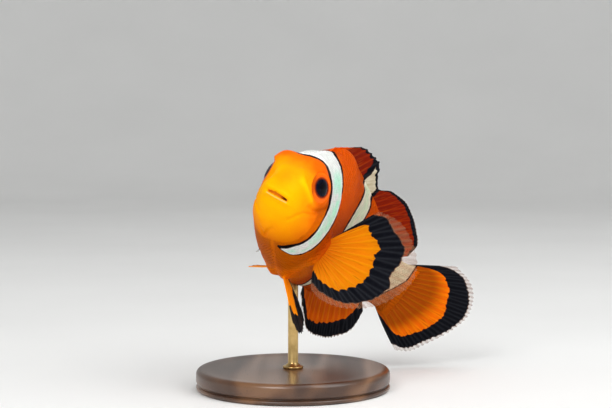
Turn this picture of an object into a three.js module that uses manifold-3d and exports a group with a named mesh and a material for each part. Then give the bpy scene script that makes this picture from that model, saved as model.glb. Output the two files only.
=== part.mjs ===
// A clownfish at life size: a still model, held up by a plain display stand.
// Units are millimetres and +Z is up. The origin is the centre of the stand's underside.
//
// The fish is described straight, in its own coordinates: "along" runs from the snout to
// the tail, "out" towards its left side and "up" towards its back. All three are fractions
// of the standard length, which is the length from the snout to the root of the tail fin.
// The spine then carries every point of the straight fish to its place in the bent pose.

import * as THREE from "three";
import Module from "manifold-3d";
import { mergeVertices } from "three/addons/utils/BufferGeometryUtils.js";

const wasm = await Module();
wasm.setup();

// ---- driving dimensions ----

const STANDARD_LENGTH = 64;
const GAP = 0.3; // between pieces that touch
const RADIANS = Math.PI / 180;

// The pose: where the snout is, how the head is turned, and how the body bends behind it.
const SNOUT = new THREE.Vector3(-3.2, -26.9, 44.5);
const TILT = -4; // degrees, turns the whole fish about X
const HEADING = -14.5; // degrees, from looking along -Y
const PITCH = -12.6; // degrees, the snout above the tail
const ROLL = 17.4; // degrees, the left side lower
const BODY_BEND = { degrees: 38, from: 0.15, to: 1.05 }; // towards the fish's left
const FIN_BEND = { degrees: 20, from: 0.95, to: 1.25 }; // the tail fin curls on
const TWIST = { degrees: 18, from: 0.1, to: 0.8 };
const LIFT = { degrees: -8.4, from: 0.1, to: 0.8 };

// The body's section at each station: its height above and below the spine, and half its width.
const BODY = [
  // along, above, below, half width
  [0.0, 0.012, 0.012, 0.03],
  [0.03, 0.062, 0.056, 0.06],
  [0.08, 0.112, 0.101, 0.086],
  [0.15, 0.162, 0.145, 0.104],
  [0.25, 0.21, 0.185, 0.115],
  [0.33, 0.247, 0.204, 0.116],
  [0.39, 0.271, 0.21, 0.112],
  [0.48, 0.237, 0.206, 0.101],
  [0.55, 0.213, 0.197, 0.09],
  [0.65, 0.18, 0.17, 0.072],
  [0.75, 0.134, 0.132, 0.052],
  [0.85, 0.102, 0.103, 0.034],
  [0.93, 0.095, 0.096, 0.024],
  [1.0, 0.104, 0.107, 0.012],
];
const BACK_SQUARENESS = 0.92; // 1 is an ellipse, and lower is squarer
const BELLY_SQUARENESS = 0.82;
const BODY_RINGS = 29;
const RING_POINTS = 36;

// Where the body is parted: head from trunk behind the gills, and trunk from tail.
const NECK = 0.318;
const NECK_CURVE = 1.1; // the cut runs forward above and below the middle
const TAIL_ROOT = 0.8;
const GILL = { along: 0.253, up: -0.012, length: 0.104, height: 0.22, inner: 0.06 };
const JAW = {
  front: -0.03,
  mouthUp: -0.008,
  cornerAlong: 0.042,
  cornerUp: -0.02,
  back: 0.076,
  chinUp: -0.158,
};
const BLOCK_REACH = 0.2; // cutting blocks end outside the body

// Eyes: a dome with a flat back, sunk in a socket.
const EYE = { along: 0.15, out: 0.06, up: 0.068, radius: 3.4, back: 1.6 };
const BROW = { along: 0.158, out: 0.044, up: 0.1, radius: 3.7 };
const EYE_FORWARD = 22; // degrees, the way each eye looks
const EYE_UP = 10;

// Fins. Roots and tips of the rays of the three middle fins, from the first ray to the last.
const FIN_ROOT_DEPTH = 0.014;
const FIN_THICK = { root: 0.95, tip: 0.55 };
const DORSAL = {
  rays: 28,
  root: [0.31, 0.88],
  share: [0, 0.08, 0.2, 0.32, 0.4, 0.44, 0.52, 0.6, 0.7, 0.8, 0.9, 1],
  along: [0.335, 0.395, 0.485, 0.562, 0.605, 0.632, 0.69, 0.755, 0.83, 0.895, 0.94, 0.935],
  up: [0.252, 0.279, 0.319, 0.314, 0.26, 0.24, 0.264, 0.267, 0.246, 0.21, 0.165, 0.12],
};
const ANAL = {
  rays: 15,
  root: [0.6, 0.87],
  share: [0, 0.12, 0.3, 0.5, 0.7, 0.85, 1],
  along: [0.63, 0.71, 0.79, 0.85, 0.9, 0.935, 0.925],
  up: [-0.215, -0.265, -0.305, -0.295, -0.262, -0.205, -0.135],
};
const CAUDAL = {
  rays: 17,
  rootAlong: 0.985,
  rootLead: 0.055, // how much further forward its outermost rays start
  share: [-1, -0.8, -0.5, -0.2, 0.1, 0.4, 0.7, 1],
  along: [1.125, 1.168, 1.212, 1.26, 1.284, 1.267, 1.213, 1.135],
  up: [-0.192, -0.17, -0.108, -0.028, 0.05, 0.116, 0.168, 0.188],
};
// Paired fins: a fan of rays in a plane of its own. Directions are (along, outward, up).
// The left pectoral fin is spread like a brake, and the right one lies back along the body.
const PECTORAL_SHAPE = {
  root: [0.345, 0.108, -0.09],
  first: [0.1, 0.15, 1],
  share: [0, 0.15, 0.35, 0.5, 0.65, 0.8, 1],
  length: [0.195, 0.272, 0.318, 0.274, 0.212, 0.155, 0.085],
  width: 0.085,
  cup: 0.03,
  rays: 16,
};
const PECTORAL_LEFT = { ...PECTORAL_SHAPE, middle: [0.5, 0.85, -0.08], spread: [61, -70] };
const PECTORAL_RIGHT = { ...PECTORAL_SHAPE, middle: [0.96, 0.16, 0.2], spread: [42, -32] };
const PELVIC_SHAPE = {
  spread: [24, -22],
  share: [0, 0.3, 0.7, 1],
  length: [0.17, 0.205, 0.18, 0.11],
  width: 0.028,
  cup: 0,
  rays: 8,
};
const PELVIC_LEFT = {
  ...PELVIC_SHAPE,
  root: [0.355, 0.022, -0.2],
  middle: [0.4, 0.62, -0.72],
  first: [-0.85, 0.25, -0.39],
};
const PELVIC_RIGHT = {
  ...PELVIC_SHAPE,
  root: [0.365, 0.022, -0.19],
  middle: [0.88, 0.46, 0.09],
  first: [-0.6, 0.62, -0.48],
};
const FIN_STEPS = 5; // along each ray

// The stand.
const BASE_RADIUS = 21;
const BASE_HEIGHT = 4.5;
const BASE_EDGE = 0.8; // rounding of the upper rim
const ROD_RADIUS = 1.1;
const ROD_SINK = 3; // how deep the rod sits in the base
const ROD_TOP = 25.5; // inside the belly, before it is cut to the belly's shape

// ---- helpers ----

// A smooth curve through a few knots that never overshoots them.
function curve(knots, values) {
  const last = knots.length - 1;
  const step = knots.slice(1).map((k, i) => k - knots[i]);
  const slope = step.map((h, i) => (values[i + 1] - values[i]) / h);
  const tangent = values.map((_, i) => {
    if (i === 0) return slope[0];
    if (i === last) return slope[last - 1];
    if (slope[i - 1] * slope[i] <= 0) return 0;
    const a = 2 * step[i] + step[i - 1];
    const b = step[i] + 2 * step[i - 1];
    return (a + b) / (a / slope[i - 1] + b / slope[i]);
  });
  return (x) => {
    const at = THREE.MathUtils.clamp(x, knots[0], knots[last]);
    const i = Math.min(last - 1, knots.filter((k) => k <= at).length - 1);
    const t = (at - knots[i]) / step[i];
    const rise = t * t * (3 - 2 * t);
    return (
      values[i] * (1 - rise) +
      values[i + 1] * rise +
      step[i] * t * (1 - t) * ((1 - t) * tangent[i] - t * tangent[i + 1])
    );
  };
}

const stations = BODY.map((row) => row[0]);
const above = curve(stations, BODY.map((row) => row[1]));
const below = curve(stations, BODY.map((row) => row[2]));
const halfWidth = curve(stations, BODY.map((row) => row[3]));

const mix = (a, b, t) => a + (b - a) * t;
const turned = (v, axis, degrees) => v.clone().applyAxisAngle(axis, degrees * RADIANS);
const eased = (part, along) =>
  part.degrees * THREE.MathUtils.smoothstep(along, part.from, part.to);

// ---- the bent spine ----

const SPINE_END = 1.4;
const SPINE_STEPS = 400;

// The head's own directions: towards the tail, to its left, and towards its back.
function headFrame() {
  const x = new THREE.Vector3(1, 0, 0);
  let frame = {
    tail: new THREE.Vector3(0, 1, 0),
    left: x.clone(),
    back: new THREE.Vector3(0, 0, 1),
  };
  frame = turnFrame(frame, frame.back, HEADING);
  frame = turnFrame(frame, frame.left, PITCH);
  frame = turnFrame(frame, frame.tail, ROLL);
  return turnFrame(frame, x, TILT);
}

function turnFrame(frame, axis, degrees) {
  return {
    tail: turned(frame.tail, axis, degrees),
    left: turned(frame.left, axis, degrees),
    back: turned(frame.back, axis, degrees),
  };
}

function spineFrames() {
  const head = headFrame();
  const stepLength = (SPINE_END / SPINE_STEPS) * STANDARD_LENGTH;
  const frames = [];
  for (let i = 0; i <= SPINE_STEPS; i++) {
    const along = (SPINE_END * i) / SPINE_STEPS;
    let frame = turnFrame(head, head.back, -eased(BODY_BEND, along) - eased(FIN_BEND, along));
    frame = turnFrame(frame, frame.left, eased(LIFT, along));
    frame = turnFrame(frame, frame.tail, eased(TWIST, along));
    const before = frames[i - 1];
    frame.centre = before
      ? before.centre
          .clone()
          .addScaledVector(before.tail, stepLength / 2)
          .addScaledVector(frame.tail, stepLength / 2)
      : SNOUT.clone();
    frames.push(frame);
  }
  return frames;
}

const frames = spineFrames();

function frameAt(along) {
  const at = (THREE.MathUtils.clamp(along, 0, SPINE_END) / SPINE_END) * SPINE_STEPS;
  const i = Math.min(SPINE_STEPS - 1, Math.floor(at));
  const blend = (key) => frames[i][key].clone().lerp(frames[i + 1][key], at - i);
  return { centre: blend("centre"), tail: blend("tail"), left: blend("left"), back: blend("back") };
}

// The posed place of a point of the straight fish.
function place(along, out, up) {
  const frame = frameAt(along);
  const ahead = Math.min(0, along);
  return frame.centre
    .addScaledVector(frame.tail, ahead * STANDARD_LENGTH)
    .addScaledVector(frame.left, out * STANDARD_LENGTH)
    .addScaledVector(frame.back, up * STANDARD_LENGTH);
}

// ---- closed solids ----

// A manifold solid from points and triangles, turned face out if it came out inside out.
function solid(points, triangles) {
  const at = points.flatMap((p) => [p.x, p.y, p.z]);
  const volume = triangles.reduce((sum, [a, b, c]) => {
    const cross = new THREE.Vector3().crossVectors(points[b], points[c]);
    return sum + points[a].dot(cross);
  }, 0);
  const order = volume < 0 ? triangles.map(([a, b, c]) => [a, c, b]) : triangles;
  return new wasm.Manifold(
    new wasm.Mesh({
      numProp: 3,
      vertProperties: new Float32Array(at),
      triVerts: new Uint32Array(order.flat()),
    }),
  );
}

function solidOf(geometry) {
  const bare = geometry.clone();
  bare.deleteAttribute("normal");
  bare.deleteAttribute("uv");
  const merged = mergeVertices(bare, 1e-4);
  return new wasm.Manifold(
    new wasm.Mesh({
      numProp: 3,
      vertProperties: merged.attributes.position.array,
      triVerts: new Uint32Array(merged.index.array),
    }),
  );
}

function geometryOf(made) {
  const mesh = made.getMesh();
  const geometry = new THREE.BufferGeometry();
  geometry.setAttribute("position", new THREE.BufferAttribute(mesh.vertProperties, 3));
  geometry.setIndex(new THREE.BufferAttribute(mesh.triVerts, 1));
  geometry.computeVertexNormals();
  return geometry;
}

// A solid through closed rings that all have the same even number of points. Each end is
// closed by rungs between opposite points of its ring.
function loft(rings) {
  const count = rings[0].length;
  const triangles = [];
  for (let i = 0; i + 1 < rings.length; i++) {
    for (let j = 0; j < count; j++) {
      const a = i * count + j;
      const b = i * count + ((j + 1) % count);
      triangles.push([a, b, b + count], [a, b + count, a + count]);
    }
  }
  const last = (rings.length - 1) * count;
  for (let j = 0; j + 1 < count / 2; j++) {
    const k = count - 1 - j;
    triangles.push([j, k, k - 1], [j, k - 1, j + 1]);
    triangles.push([last + j, last + k - 1, last + k], [last + j, last + j + 1, last + k - 1]);
  }
  return solid(rings.flat(), triangles);
}

// A slab of the given thickness about a grid of points.
function slab(grid, thickness) {
  const rows = grid.length;
  const columns = grid[0].length;
  const clampRow = (i) => THREE.MathUtils.clamp(i, 0, rows - 1);
  const clampColumn = (j) => THREE.MathUtils.clamp(j, 0, columns - 1);
  const rings = grid.map((row, i) => {
    const front = [];
    const rear = [];
    row.forEach((point, j) => {
      const across = new THREE.Vector3().subVectors(
        grid[clampRow(i + 1)][j],
        grid[clampRow(i - 1)][j],
      );
      const forward = new THREE.Vector3().subVectors(
        row[clampColumn(j + 1)],
        row[clampColumn(j - 1)],
      );
      const normal = across.cross(forward).normalize();
      const half = thickness(j / (columns - 1)) / 2;
      front.push(point.clone().addScaledVector(normal, half));
      rear.unshift(point.clone().addScaledVector(normal, -half));
    });
    return [...front, ...rear];
  });
  return loft(rings);
}

const largest = (made) => made.decompose().sort((a, b) => b.volume() - a.volume())[0];

// ---- the body ----

// One closed ring of the body's skin, grown outwards by a little where grow is given.
function bodyRing(along, grow) {
  return Array.from({ length: RING_POINTS }, (_, i) => {
    const angle = ((i + 0.5) / RING_POINTS) * 2 * Math.PI;
    const up = Math.cos(angle);
    const out = Math.sin(angle);
    const power = up > 0 ? BACK_SQUARENESS : BELLY_SQUARENESS;
    const height = (up > 0 ? above(along) : below(along)) + grow;
    const width = halfWidth(along) + grow;
    return place(
      along + (along < 0.5 ? -grow : grow),
      Math.sign(out) * Math.abs(out) ** power * width,
      Math.sign(up) * Math.abs(up) ** power * height,
    );
  });
}

// The whole body without fins. Its rings are closest together on the head.
function bodySolid(grow = 0) {
  const rings = [];
  for (let i = 0; i <= BODY_RINGS; i++) rings.push(bodyRing((i / BODY_RINGS) ** 1.35, grow));
  return loft(rings);
}

// A thin curved wall right across the body.
function partingSheet(middle, bow) {
  const rows = 9;
  const columns = 5;
  const reach = 0.3;
  const grid = Array.from({ length: rows }, (_, i) => {
    const up = mix(-reach, reach, i / (rows - 1));
    return Array.from({ length: columns }, (_, j) =>
      place(middle - bow * up * up, mix(-reach, reach, j / (columns - 1)), up),
    );
  });
  return slab(grid, () => GAP);
}

// A block with the given outline in the fish's side view, from one "out" to another.
function sideBlock(outline, from, to) {
  const layers = 5;
  const rings = Array.from({ length: layers }, (_, i) =>
    outline.map(([along, up]) => place(along, mix(from, to, i / (layers - 1)), up)),
  );
  return loft(rings);
}

function gillBlock(side, grow) {
  const points = 22;
  const outline = Array.from({ length: points }, (_, i) => {
    const angle = ((i + 0.5) / points) * 2 * Math.PI;
    return [
      GILL.along + (GILL.length / 2 + grow) * Math.cos(angle),
      GILL.up + (GILL.height / 2 + grow) * Math.sin(angle),
    ];
  });
  return sideBlock(outline, side * (GILL.inner - grow), side * BLOCK_REACH);
}

// Below the line of the mouth, back to the corner of the jaw.
function jawBlock(grow) {
  const middleUp = (JAW.mouthUp + JAW.chinUp) / 2;
  const outline = [
    [JAW.front, JAW.mouthUp + grow],
    [JAW.cornerAlong + grow, JAW.cornerUp + grow],
    [JAW.back + grow, middleUp],
    [JAW.back + grow, JAW.chinUp],
    [JAW.front, JAW.chinUp],
    [JAW.front, middleUp],
  ];
  return sideBlock(outline, -BLOCK_REACH, BLOCK_REACH);
}

// ---- eyes ----

function eyeSolid(side, grow) {
  const radius = EYE.radius + grow;
  const back = EYE.back + grow;
  const start = -Math.asin(back / radius);
  const profile = [new THREE.Vector2(0, -back)];
  const steps = 7;
  for (let i = 0; i < steps; i++) {
    const angle = mix(start, Math.PI / 2, i / steps);
    profile.push(new THREE.Vector2(radius * Math.cos(angle), radius * Math.sin(angle)));
  }
  profile.push(new THREE.Vector2(0, radius));
  const frame = frameAt(EYE.along);
  const look = frame.left
    .multiplyScalar(side)
    .addScaledVector(frame.tail, -Math.tan(EYE_FORWARD * RADIANS))
    .addScaledVector(frame.back, Math.tan(EYE_UP * RADIANS))
    .normalize();
  const turn = new THREE.Quaternion().setFromUnitVectors(new THREE.Vector3(0, 1, 0), look);
  const geometry = new THREE.LatheGeometry(profile, 22);
  geometry.applyQuaternion(turn);
  geometry.translate(...place(EYE.along, side * EYE.out, EYE.up).toArray());
  return solidOf(geometry);
}

// The raised flesh over each eye.
function browSolid(side) {
  const geometry = new THREE.SphereGeometry(BROW.radius, 16, 10);
  geometry.translate(...place(BROW.along, side * BROW.out, BROW.up).toArray());
  return solidOf(geometry);
}

// ---- fins ----

const finThickness = (share) => mix(FIN_THICK.root, FIN_THICK.tip, share);

// The rays of a fin in the middle plane, each from a root in the body to its tip.
function middleFin(fin, rootAt) {
  const tipAlong = curve(fin.share, fin.along);
  const tipUp = curve(fin.share, fin.up);
  const first = fin.share[0];
  return Array.from({ length: fin.rays }, (_, i) => {
    const share = mix(first, 1, i / (fin.rays - 1));
    const [rootAlong, rootUp] = rootAt(share);
    return Array.from({ length: FIN_STEPS + 1 }, (_, j) => {
      const t = j / FIN_STEPS;
      return place(mix(rootAlong, tipAlong(share), t), 0, mix(rootUp, tipUp(share), t));
    });
  });
}

function dorsalRoot(share) {
  const along = mix(...DORSAL.root, share);
  return [along, above(along) - FIN_ROOT_DEPTH];
}

function analRoot(share) {
  const along = mix(...ANAL.root, share);
  return [along, FIN_ROOT_DEPTH - below(along)];
}

function caudalRoot(share) {
  const along = CAUDAL.rootAlong - CAUDAL.rootLead * share ** 4;
  const edge = (share > 0 ? above(along) : below(along)) - FIN_ROOT_DEPTH;
  return [along, edge * share];
}

// A fan of rays on one side of the body (side is 1 on the left and -1 on the right).
function fanFin(fin, side) {
  const frame = frameAt(fin.root[0]);
  const direction = ([along, outward, up]) =>
    new THREE.Vector3()
      .addScaledVector(frame.tail, along)
      .addScaledVector(frame.left, outward * side)
      .addScaledVector(frame.back, up);
  const middle = direction(fin.middle).normalize();
  const first = direction(fin.first);
  first.addScaledVector(middle, -first.dot(middle)).normalize();
  const normal = new THREE.Vector3().crossVectors(middle, first).multiplyScalar(side);
  const root = place(fin.root[0], side * fin.root[1], fin.root[2]);
  const length = curve(fin.share, fin.length);
  return Array.from({ length: fin.rays }, (_, i) => {
    const share = i / (fin.rays - 1);
    const angle = mix(...fin.spread, share) * RADIANS;
    const reach = length(share) * STANDARD_LENGTH;
    return Array.from({ length: FIN_STEPS + 1 }, (_, j) => {
      const t = j / FIN_STEPS;
      return root
        .clone()
        .addScaledVector(middle, reach * t * Math.cos(angle))
        .addScaledVector(first, reach * t * Math.sin(angle))
        .addScaledVector(first, (fin.width / 2) * (1 - 2 * share) * STANDARD_LENGTH)
        .addScaledVector(normal, fin.cup * t * t * STANDARD_LENGTH);
    });
  });
}

// ---- the stand ----

function baseGeometry() {
  const profile = [new THREE.Vector2(0, 0), new THREE.Vector2(BASE_RADIUS, 0)];
  const edgeSteps = 3;
  for (let i = 0; i <= edgeSteps; i++) {
    const angle = (i / edgeSteps) * (Math.PI / 2);
    profile.push(
      new THREE.Vector2(
        BASE_RADIUS - BASE_EDGE + BASE_EDGE * Math.cos(angle),
        BASE_HEIGHT - BASE_EDGE + BASE_EDGE * Math.sin(angle),
      ),
    );
  }
  const hole = ROD_RADIUS + GAP;
  profile.push(new THREE.Vector2(hole, BASE_HEIGHT));
  profile.push(new THREE.Vector2(hole, BASE_HEIGHT - ROD_SINK - GAP));
  profile.push(new THREE.Vector2(0, BASE_HEIGHT - ROD_SINK - GAP));
  const geometry = new THREE.LatheGeometry(profile, 48);
  geometry.rotateX(Math.PI / 2);
  return geometry;
}

function rodSolid() {
  const foot = BASE_HEIGHT - ROD_SINK;
  const geometry = new THREE.CylinderGeometry(ROD_RADIUS, ROD_RADIUS, ROD_TOP - foot, 24);
  geometry.rotateX(Math.PI / 2);
  geometry.translate(0, 0, (ROD_TOP + foot) / 2);
  return solidOf(geometry);
}

// ---- the parts ----

const model = new THREE.Group();

function addPart(name, geometry, colour, roughness, metalness = 0) {
  const material = new THREE.MeshStandardMaterial({ color: colour, roughness, metalness });
  const mesh = new THREE.Mesh(geometry, material);
  mesh.name = name;
  model.add(mesh);
}

const FACE = 0xf08a1c;
const FLANK = 0xd9581a;
const FIN = 0xe5691a;
const IRIS = 0x8a3a14;
const BRASS = 0xb08d4a;
const WALNUT = 0x4a2f1e;
const growth = GAP / STANDARD_LENGTH;

const grownBody = bodySolid(growth);
const jawRegion = jawBlock(0);

const parted = bodySolid()
  .add(browSolid(1))
  .add(browSolid(-1))
  .subtract(partingSheet(NECK, NECK_CURVE))
  .subtract(partingSheet(TAIL_ROOT, 0));
const [wholeHead, trunk, tail] = parted
  .decompose()
  .sort((a, b) => a.boundingBox().min[1] - b.boundingBox().min[1]);

let head = wholeHead.subtract(jawBlock(growth));
for (const [name, side] of [["left", 1], ["right", -1]]) {
  addPart("gill_cover_" + name, geometryOf(largest(head.intersect(gillBlock(side, 0)))), FLANK, 0.4);
  addPart("eye_" + name, geometryOf(eyeSolid(side, 0)), IRIS, 0.1);
  head = head.subtract(gillBlock(side, growth)).subtract(eyeSolid(side, GAP));
}
addPart("head", geometryOf(largest(head)), FACE, 0.4);
addPart("lower_jaw", geometryOf(largest(wholeHead.intersect(jawRegion))), FACE, 0.4);
addPart("trunk", geometryOf(trunk), FLANK, 0.4);
addPart("tail", geometryOf(tail), FLANK, 0.4);

const fins = [
  ["dorsal_fin", middleFin(DORSAL, dorsalRoot)],
  ["anal_fin", middleFin(ANAL, analRoot)],
  ["caudal_fin", middleFin(CAUDAL, caudalRoot)],
  ["pectoral_fin_left", fanFin(PECTORAL_LEFT, 1)],
  ["pectoral_fin_right", fanFin(PECTORAL_RIGHT, -1)],
  ["pelvic_fin_left", fanFin(PELVIC_LEFT, 1)],
  ["pelvic_fin_right", fanFin(PELVIC_RIGHT, -1)],
];
for (const [name, rays] of fins) {
  addPart(name, geometryOf(largest(slab(rays, finThickness).subtract(grownBody))), FIN, 0.5);
}

addPart("stand_base", baseGeometry(), WALNUT, 0.45);
addPart("stand_rod", geometryOf(largest(rodSolid().subtract(grownBody))), BRASS, 0.3, 1);

export default model;
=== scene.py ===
"""A clownfish at life size, still, held up by a plain display stand.

The fish is described straight, in its own coordinates: "along" runs from the snout to the
tail, "out" towards its left side and "up" towards its back, all three as fractions of the
standard length. A bent spine carries every point of the straight fish to its place in the
pose. All sizes here are in metres, and the few in millimetres are named so.
"""

import bpy
import numpy as np
from mathutils import Matrix, Vector


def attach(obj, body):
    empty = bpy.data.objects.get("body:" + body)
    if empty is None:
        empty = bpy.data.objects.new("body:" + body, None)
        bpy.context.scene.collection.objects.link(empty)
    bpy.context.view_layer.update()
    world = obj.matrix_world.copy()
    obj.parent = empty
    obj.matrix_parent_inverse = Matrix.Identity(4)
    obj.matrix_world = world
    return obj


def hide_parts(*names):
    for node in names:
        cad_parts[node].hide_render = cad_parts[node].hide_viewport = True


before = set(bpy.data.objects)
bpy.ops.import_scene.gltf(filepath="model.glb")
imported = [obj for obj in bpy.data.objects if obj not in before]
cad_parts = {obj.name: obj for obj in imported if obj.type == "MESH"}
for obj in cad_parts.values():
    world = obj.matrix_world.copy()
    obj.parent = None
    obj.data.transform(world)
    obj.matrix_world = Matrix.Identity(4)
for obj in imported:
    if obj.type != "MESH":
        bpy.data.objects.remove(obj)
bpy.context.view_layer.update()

MM = 0.001
rng = np.random.default_rng(7)

# ---- the pose ----

STANDARD_LENGTH = 0.064
SNOUT = (-0.0032, -0.0269, 0.0445)
# Degrees by which the whole fish is turned.
TILT = -4.0
HEADING = -14.5
PITCH = -12.6
ROLL = 17.4
# Degrees of each bend, and the stations between which it happens.
BODY_BEND = (38.0, 0.15, 1.05)
FIN_BEND = (20.0, 0.95, 1.25)
TWIST = (18.0, 0.1, 0.8)
LIFT = (-8.4, 0.1, 0.8)
SPINE_END = 1.4
SPINE_STEPS = 400

# ---- the body ----

# Stations along the fish, its heights above and below the spine there, and its half widths.
BODY_ALONG = (0, 0.03, 0.08, 0.15, 0.25, 0.33, 0.39, 0.48, 0.55, 0.65, 0.75, 0.85, 0.93, 1)
ABOVE = (0.012, 0.062, 0.112, 0.162, 0.21, 0.247, 0.271, 0.237, 0.213, 0.18, 0.134, 0.102, 0.095, 0.104)
BELOW = (0.012, 0.056, 0.101, 0.145, 0.185, 0.204, 0.21, 0.206, 0.197, 0.17, 0.132, 0.103, 0.096, 0.107)
HALF_WIDTH = (
    *(0.03, 0.06, 0.086, 0.104, 0.115, 0.116, 0.112),
    *(0.101, 0.09, 0.072, 0.052, 0.034, 0.024, 0.012),
)
BACK_SQUARENESS = 0.92
BELLY_SQUARENESS = 0.82
COAT_DEPTH = 0.12 * MM / STANDARD_LENGTH
# Stations where the skin starts and ends, how soon it rounds off at the snout, and where its
# sides begin to draw together towards the tail's end, down to a last half width.
SKIN_START = 0.003
SKIN_END = 1.02
SNOUT_ROUNDING = 0.016
TAIL_TAPER_START = 0.955
TAIL_END_HALF_WIDTH = 0.0035
SKIN_RINGS = 214
SKIN_POINTS = 440
# Margins of the skin's map at its edges and between its halves, and what they leave.
MAP_EDGE = 0.004
MAP_SEAM = 0.012
MAP_SPAN = 0.984

EYE_ALONG = 0.15
EYE_OUT = 0.06
EYE_UP = 0.068
EYE_FORWARD_DEGREES = 22.0
EYE_UP_DEGREES = 10.0
EYE_OPENING = 2.8 * MM
EYE_RIM_DEPTH = 2.15 * MM
EYE_SWELL = 0.8 * MM

MOUTH_HALF_WIDTH = 0.037
MOUTH_MIDDLE = 0.005
MOUTH_SLOPE = 0.18
MOUTH_FADE = (0.045, 0.075)
# Lips: how far each ridge or groove stands out, its height above the slit and its width, in
# millimetres.
LIPS = ((0.17, 0.8, 0.5), (0.3, -0.62, 0.42), (-0.1, 1.45, 0.4), (-0.12, -1.7, 0.6))

CHEEK_EDGE = 0.222
GILL_EDGE = 0.324

# Lines on the left side, through points given as along, out and up.
EYE_RIDGE = [
    (0.075, 0.03, 0.098),
    (0.06, 0.056, 0.062),
    (0.073, 0.075, 0.044),
    (0.093, 0.087, 0.023),
    (0.112, 0.095, 0.006),
]
CHEEK_SHADE = [(0.15, 0.104, 0.008), (0.19, 0.108, 0.022), (0.212, 0.11, 0.045)]
NOSTRIL = [(0.083, 0.052, 0.082), (0.0835, 0.0525, 0.0825)]
THROAT_FOLD = [(0.126, 0.0, -0.13), (0.1, 0.016, -0.112), (0.088, 0.034, -0.098)]
CHIN_RIDGE = [(0.085, 0.0, -0.1), (0.06, 0.024, -0.08)]
PECTORAL_BASE = [(0.352, 0.11, -0.05), (0.343, 0.108, -0.128)]
PELVIC_BASE = [(0.35, 0.024, -0.196), (0.372, 0.022, -0.2)]
FOLD_BELOW_EYE = [
    (0.094, 0.089, -0.003),
    (0.123, 0.097, -0.007),
    (0.16, 0.104, 0.002),
    (0.2, 0.109, 0.023),
]
LOWER_LID = [(0.102, 0.09, 0.018), (0.13, 0.1, 0.01), (0.165, 0.107, 0.019), (0.2, 0.11, 0.042)]
MOUTH_CREASE = [
    (0.057, 0.052, -0.067),
    (0.06, 0.07, -0.046),
    (0.08, 0.084, -0.029),
    (0.141, 0.102, -0.015),
]

# A painted highlight on the right brow, which is made paler and yellower; the left brow has none.
RIGHT_BROW_HIGHLIGHT = [(0.055, -0.044, 0.08), (0.09, -0.052, 0.101), (0.11, -0.056, 0.112)]

# Millimetres by which each form stands out on the left and on the right, its width in
# millimetres, and its line. From the top: ridge and hollow before the eye, fold below it, its
# lids, the brow, temple, nape, crease behind the mouth, jowl, and two fins' bases.
RELIEF = [
    (0.26, 0.1, 0.9, EYE_RIDGE),
    (-0.5, -0.5, 1.3, [(0.08, 0.07, 0.07), (0.096, 0.085, 0.046), (0.112, 0.093, 0.026)]),
    (-0.3, -0.3, 0.42, FOLD_BELOW_EYE),
    (0.24, 0.24, 0.8, LOWER_LID),
    (0.0, 0.4, 1.2, [(0.165, 0.08, 0.119), (0.176, 0.083, 0.113)]),
    (0.7, 1.45, 2.2, [(0.132, 0.074, 0.115), (0.158, 0.064, 0.139)]),
    (-0.05, -0.32, 1.6, [(0.165, 0.028, 0.165), (0.212, 0.03, 0.184)]),
    (-0.5, -0.5, 2.4, [(0.21, 0.0, 0.186), (0.29, 0.0, 0.228), (0.325, 0.0, 0.244)]),
    (-0.26, -0.26, 0.36, MOUTH_CREASE),
    (0.22, 0.22, 1.7, [(0.075, 0.082, -0.055), (0.13, 0.098, -0.06)]),
    (1.0, 1.0, 1.25, PECTORAL_BASE),
    (0.75, 0.75, 1.2, PELVIC_BASE),
]
# The same on the right alone: the hollow before the eye, and the nape.
RIGHT_RELIEF = [
    (-0.85, 1.8, [(0.06, -0.064, 0.056), (0.08, -0.079, 0.036)]),
    (-0.4, 2.0, [(0.3, -0.042, 0.222), (0.33, -0.04, 0.236), (0.357, -0.037, 0.249)]),
]

# ---- small helpers on arrays ----


def mix(a, b, t):
    """From a to b in proportion to t."""
    return a + (b - a) * t


def smoothstep(value, low, high):
    """0 below low, 1 above high, and 3t^2 - 2t^3 between them."""
    t = np.clip((value - low) / (high - low), 0, 1)
    return t * t * (3 - 2 * t)


def bell(value, width):
    """A bump of height 1 about zero: e to the minus (value / width) squared."""
    return np.exp(-((value / width) ** 2))


def window(value, start, full, fade, end):
    """A smooth step up from start to full, times one down from fade to end."""
    return smoothstep(value, start, full) * (1 - smoothstep(value, fade, end))


def unit(vectors):
    """Each vector divided by its length."""
    return vectors / np.maximum(np.linalg.norm(vectors, axis=-1, keepdims=True), 1e-12)


def curve(knots, values):
    """A cubic through a few knots whose slope at each is the harmonic mean of its
    neighbours' slopes, or zero where they differ in sign, so that it never overshoots."""
    knots = np.asarray(knots, float)
    values = np.asarray(values, float)
    step = np.diff(knots)
    slope = np.diff(values) / step
    before = slope[:-1]
    after = slope[1:]
    same = before * after > 0
    a = 2 * step[1:] + step[:-1]
    b = step[1:] + 2 * step[:-1]
    tangent = np.zeros_like(values)
    tangent[0] = slope[0]
    tangent[-1] = slope[-1]
    inner = np.zeros_like(before)
    inner[same] = (a + b)[same] / (a[same] / before[same] + b[same] / after[same])
    tangent[1:-1] = inner

    def value(x):
        at = np.clip(x, knots[0], knots[-1])
        i = np.clip(np.searchsorted(knots, at, side="right") - 1, 0, len(step) - 1)
        t = (at - knots[i]) / step[i]
        rise = t * t * (3 - 2 * t)
        bend = t * (1 - t) * ((1 - t) * tangent[i] - t * tangent[i + 1])
        return values[i] * (1 - rise) + values[i + 1] * rise + step[i] * bend

    return value


above = curve(BODY_ALONG, ABOVE)
below = curve(BODY_ALONG, BELOW)
half_width = curve(BODY_ALONG, HALF_WIDTH)


# ---- the bent spine ----


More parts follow.
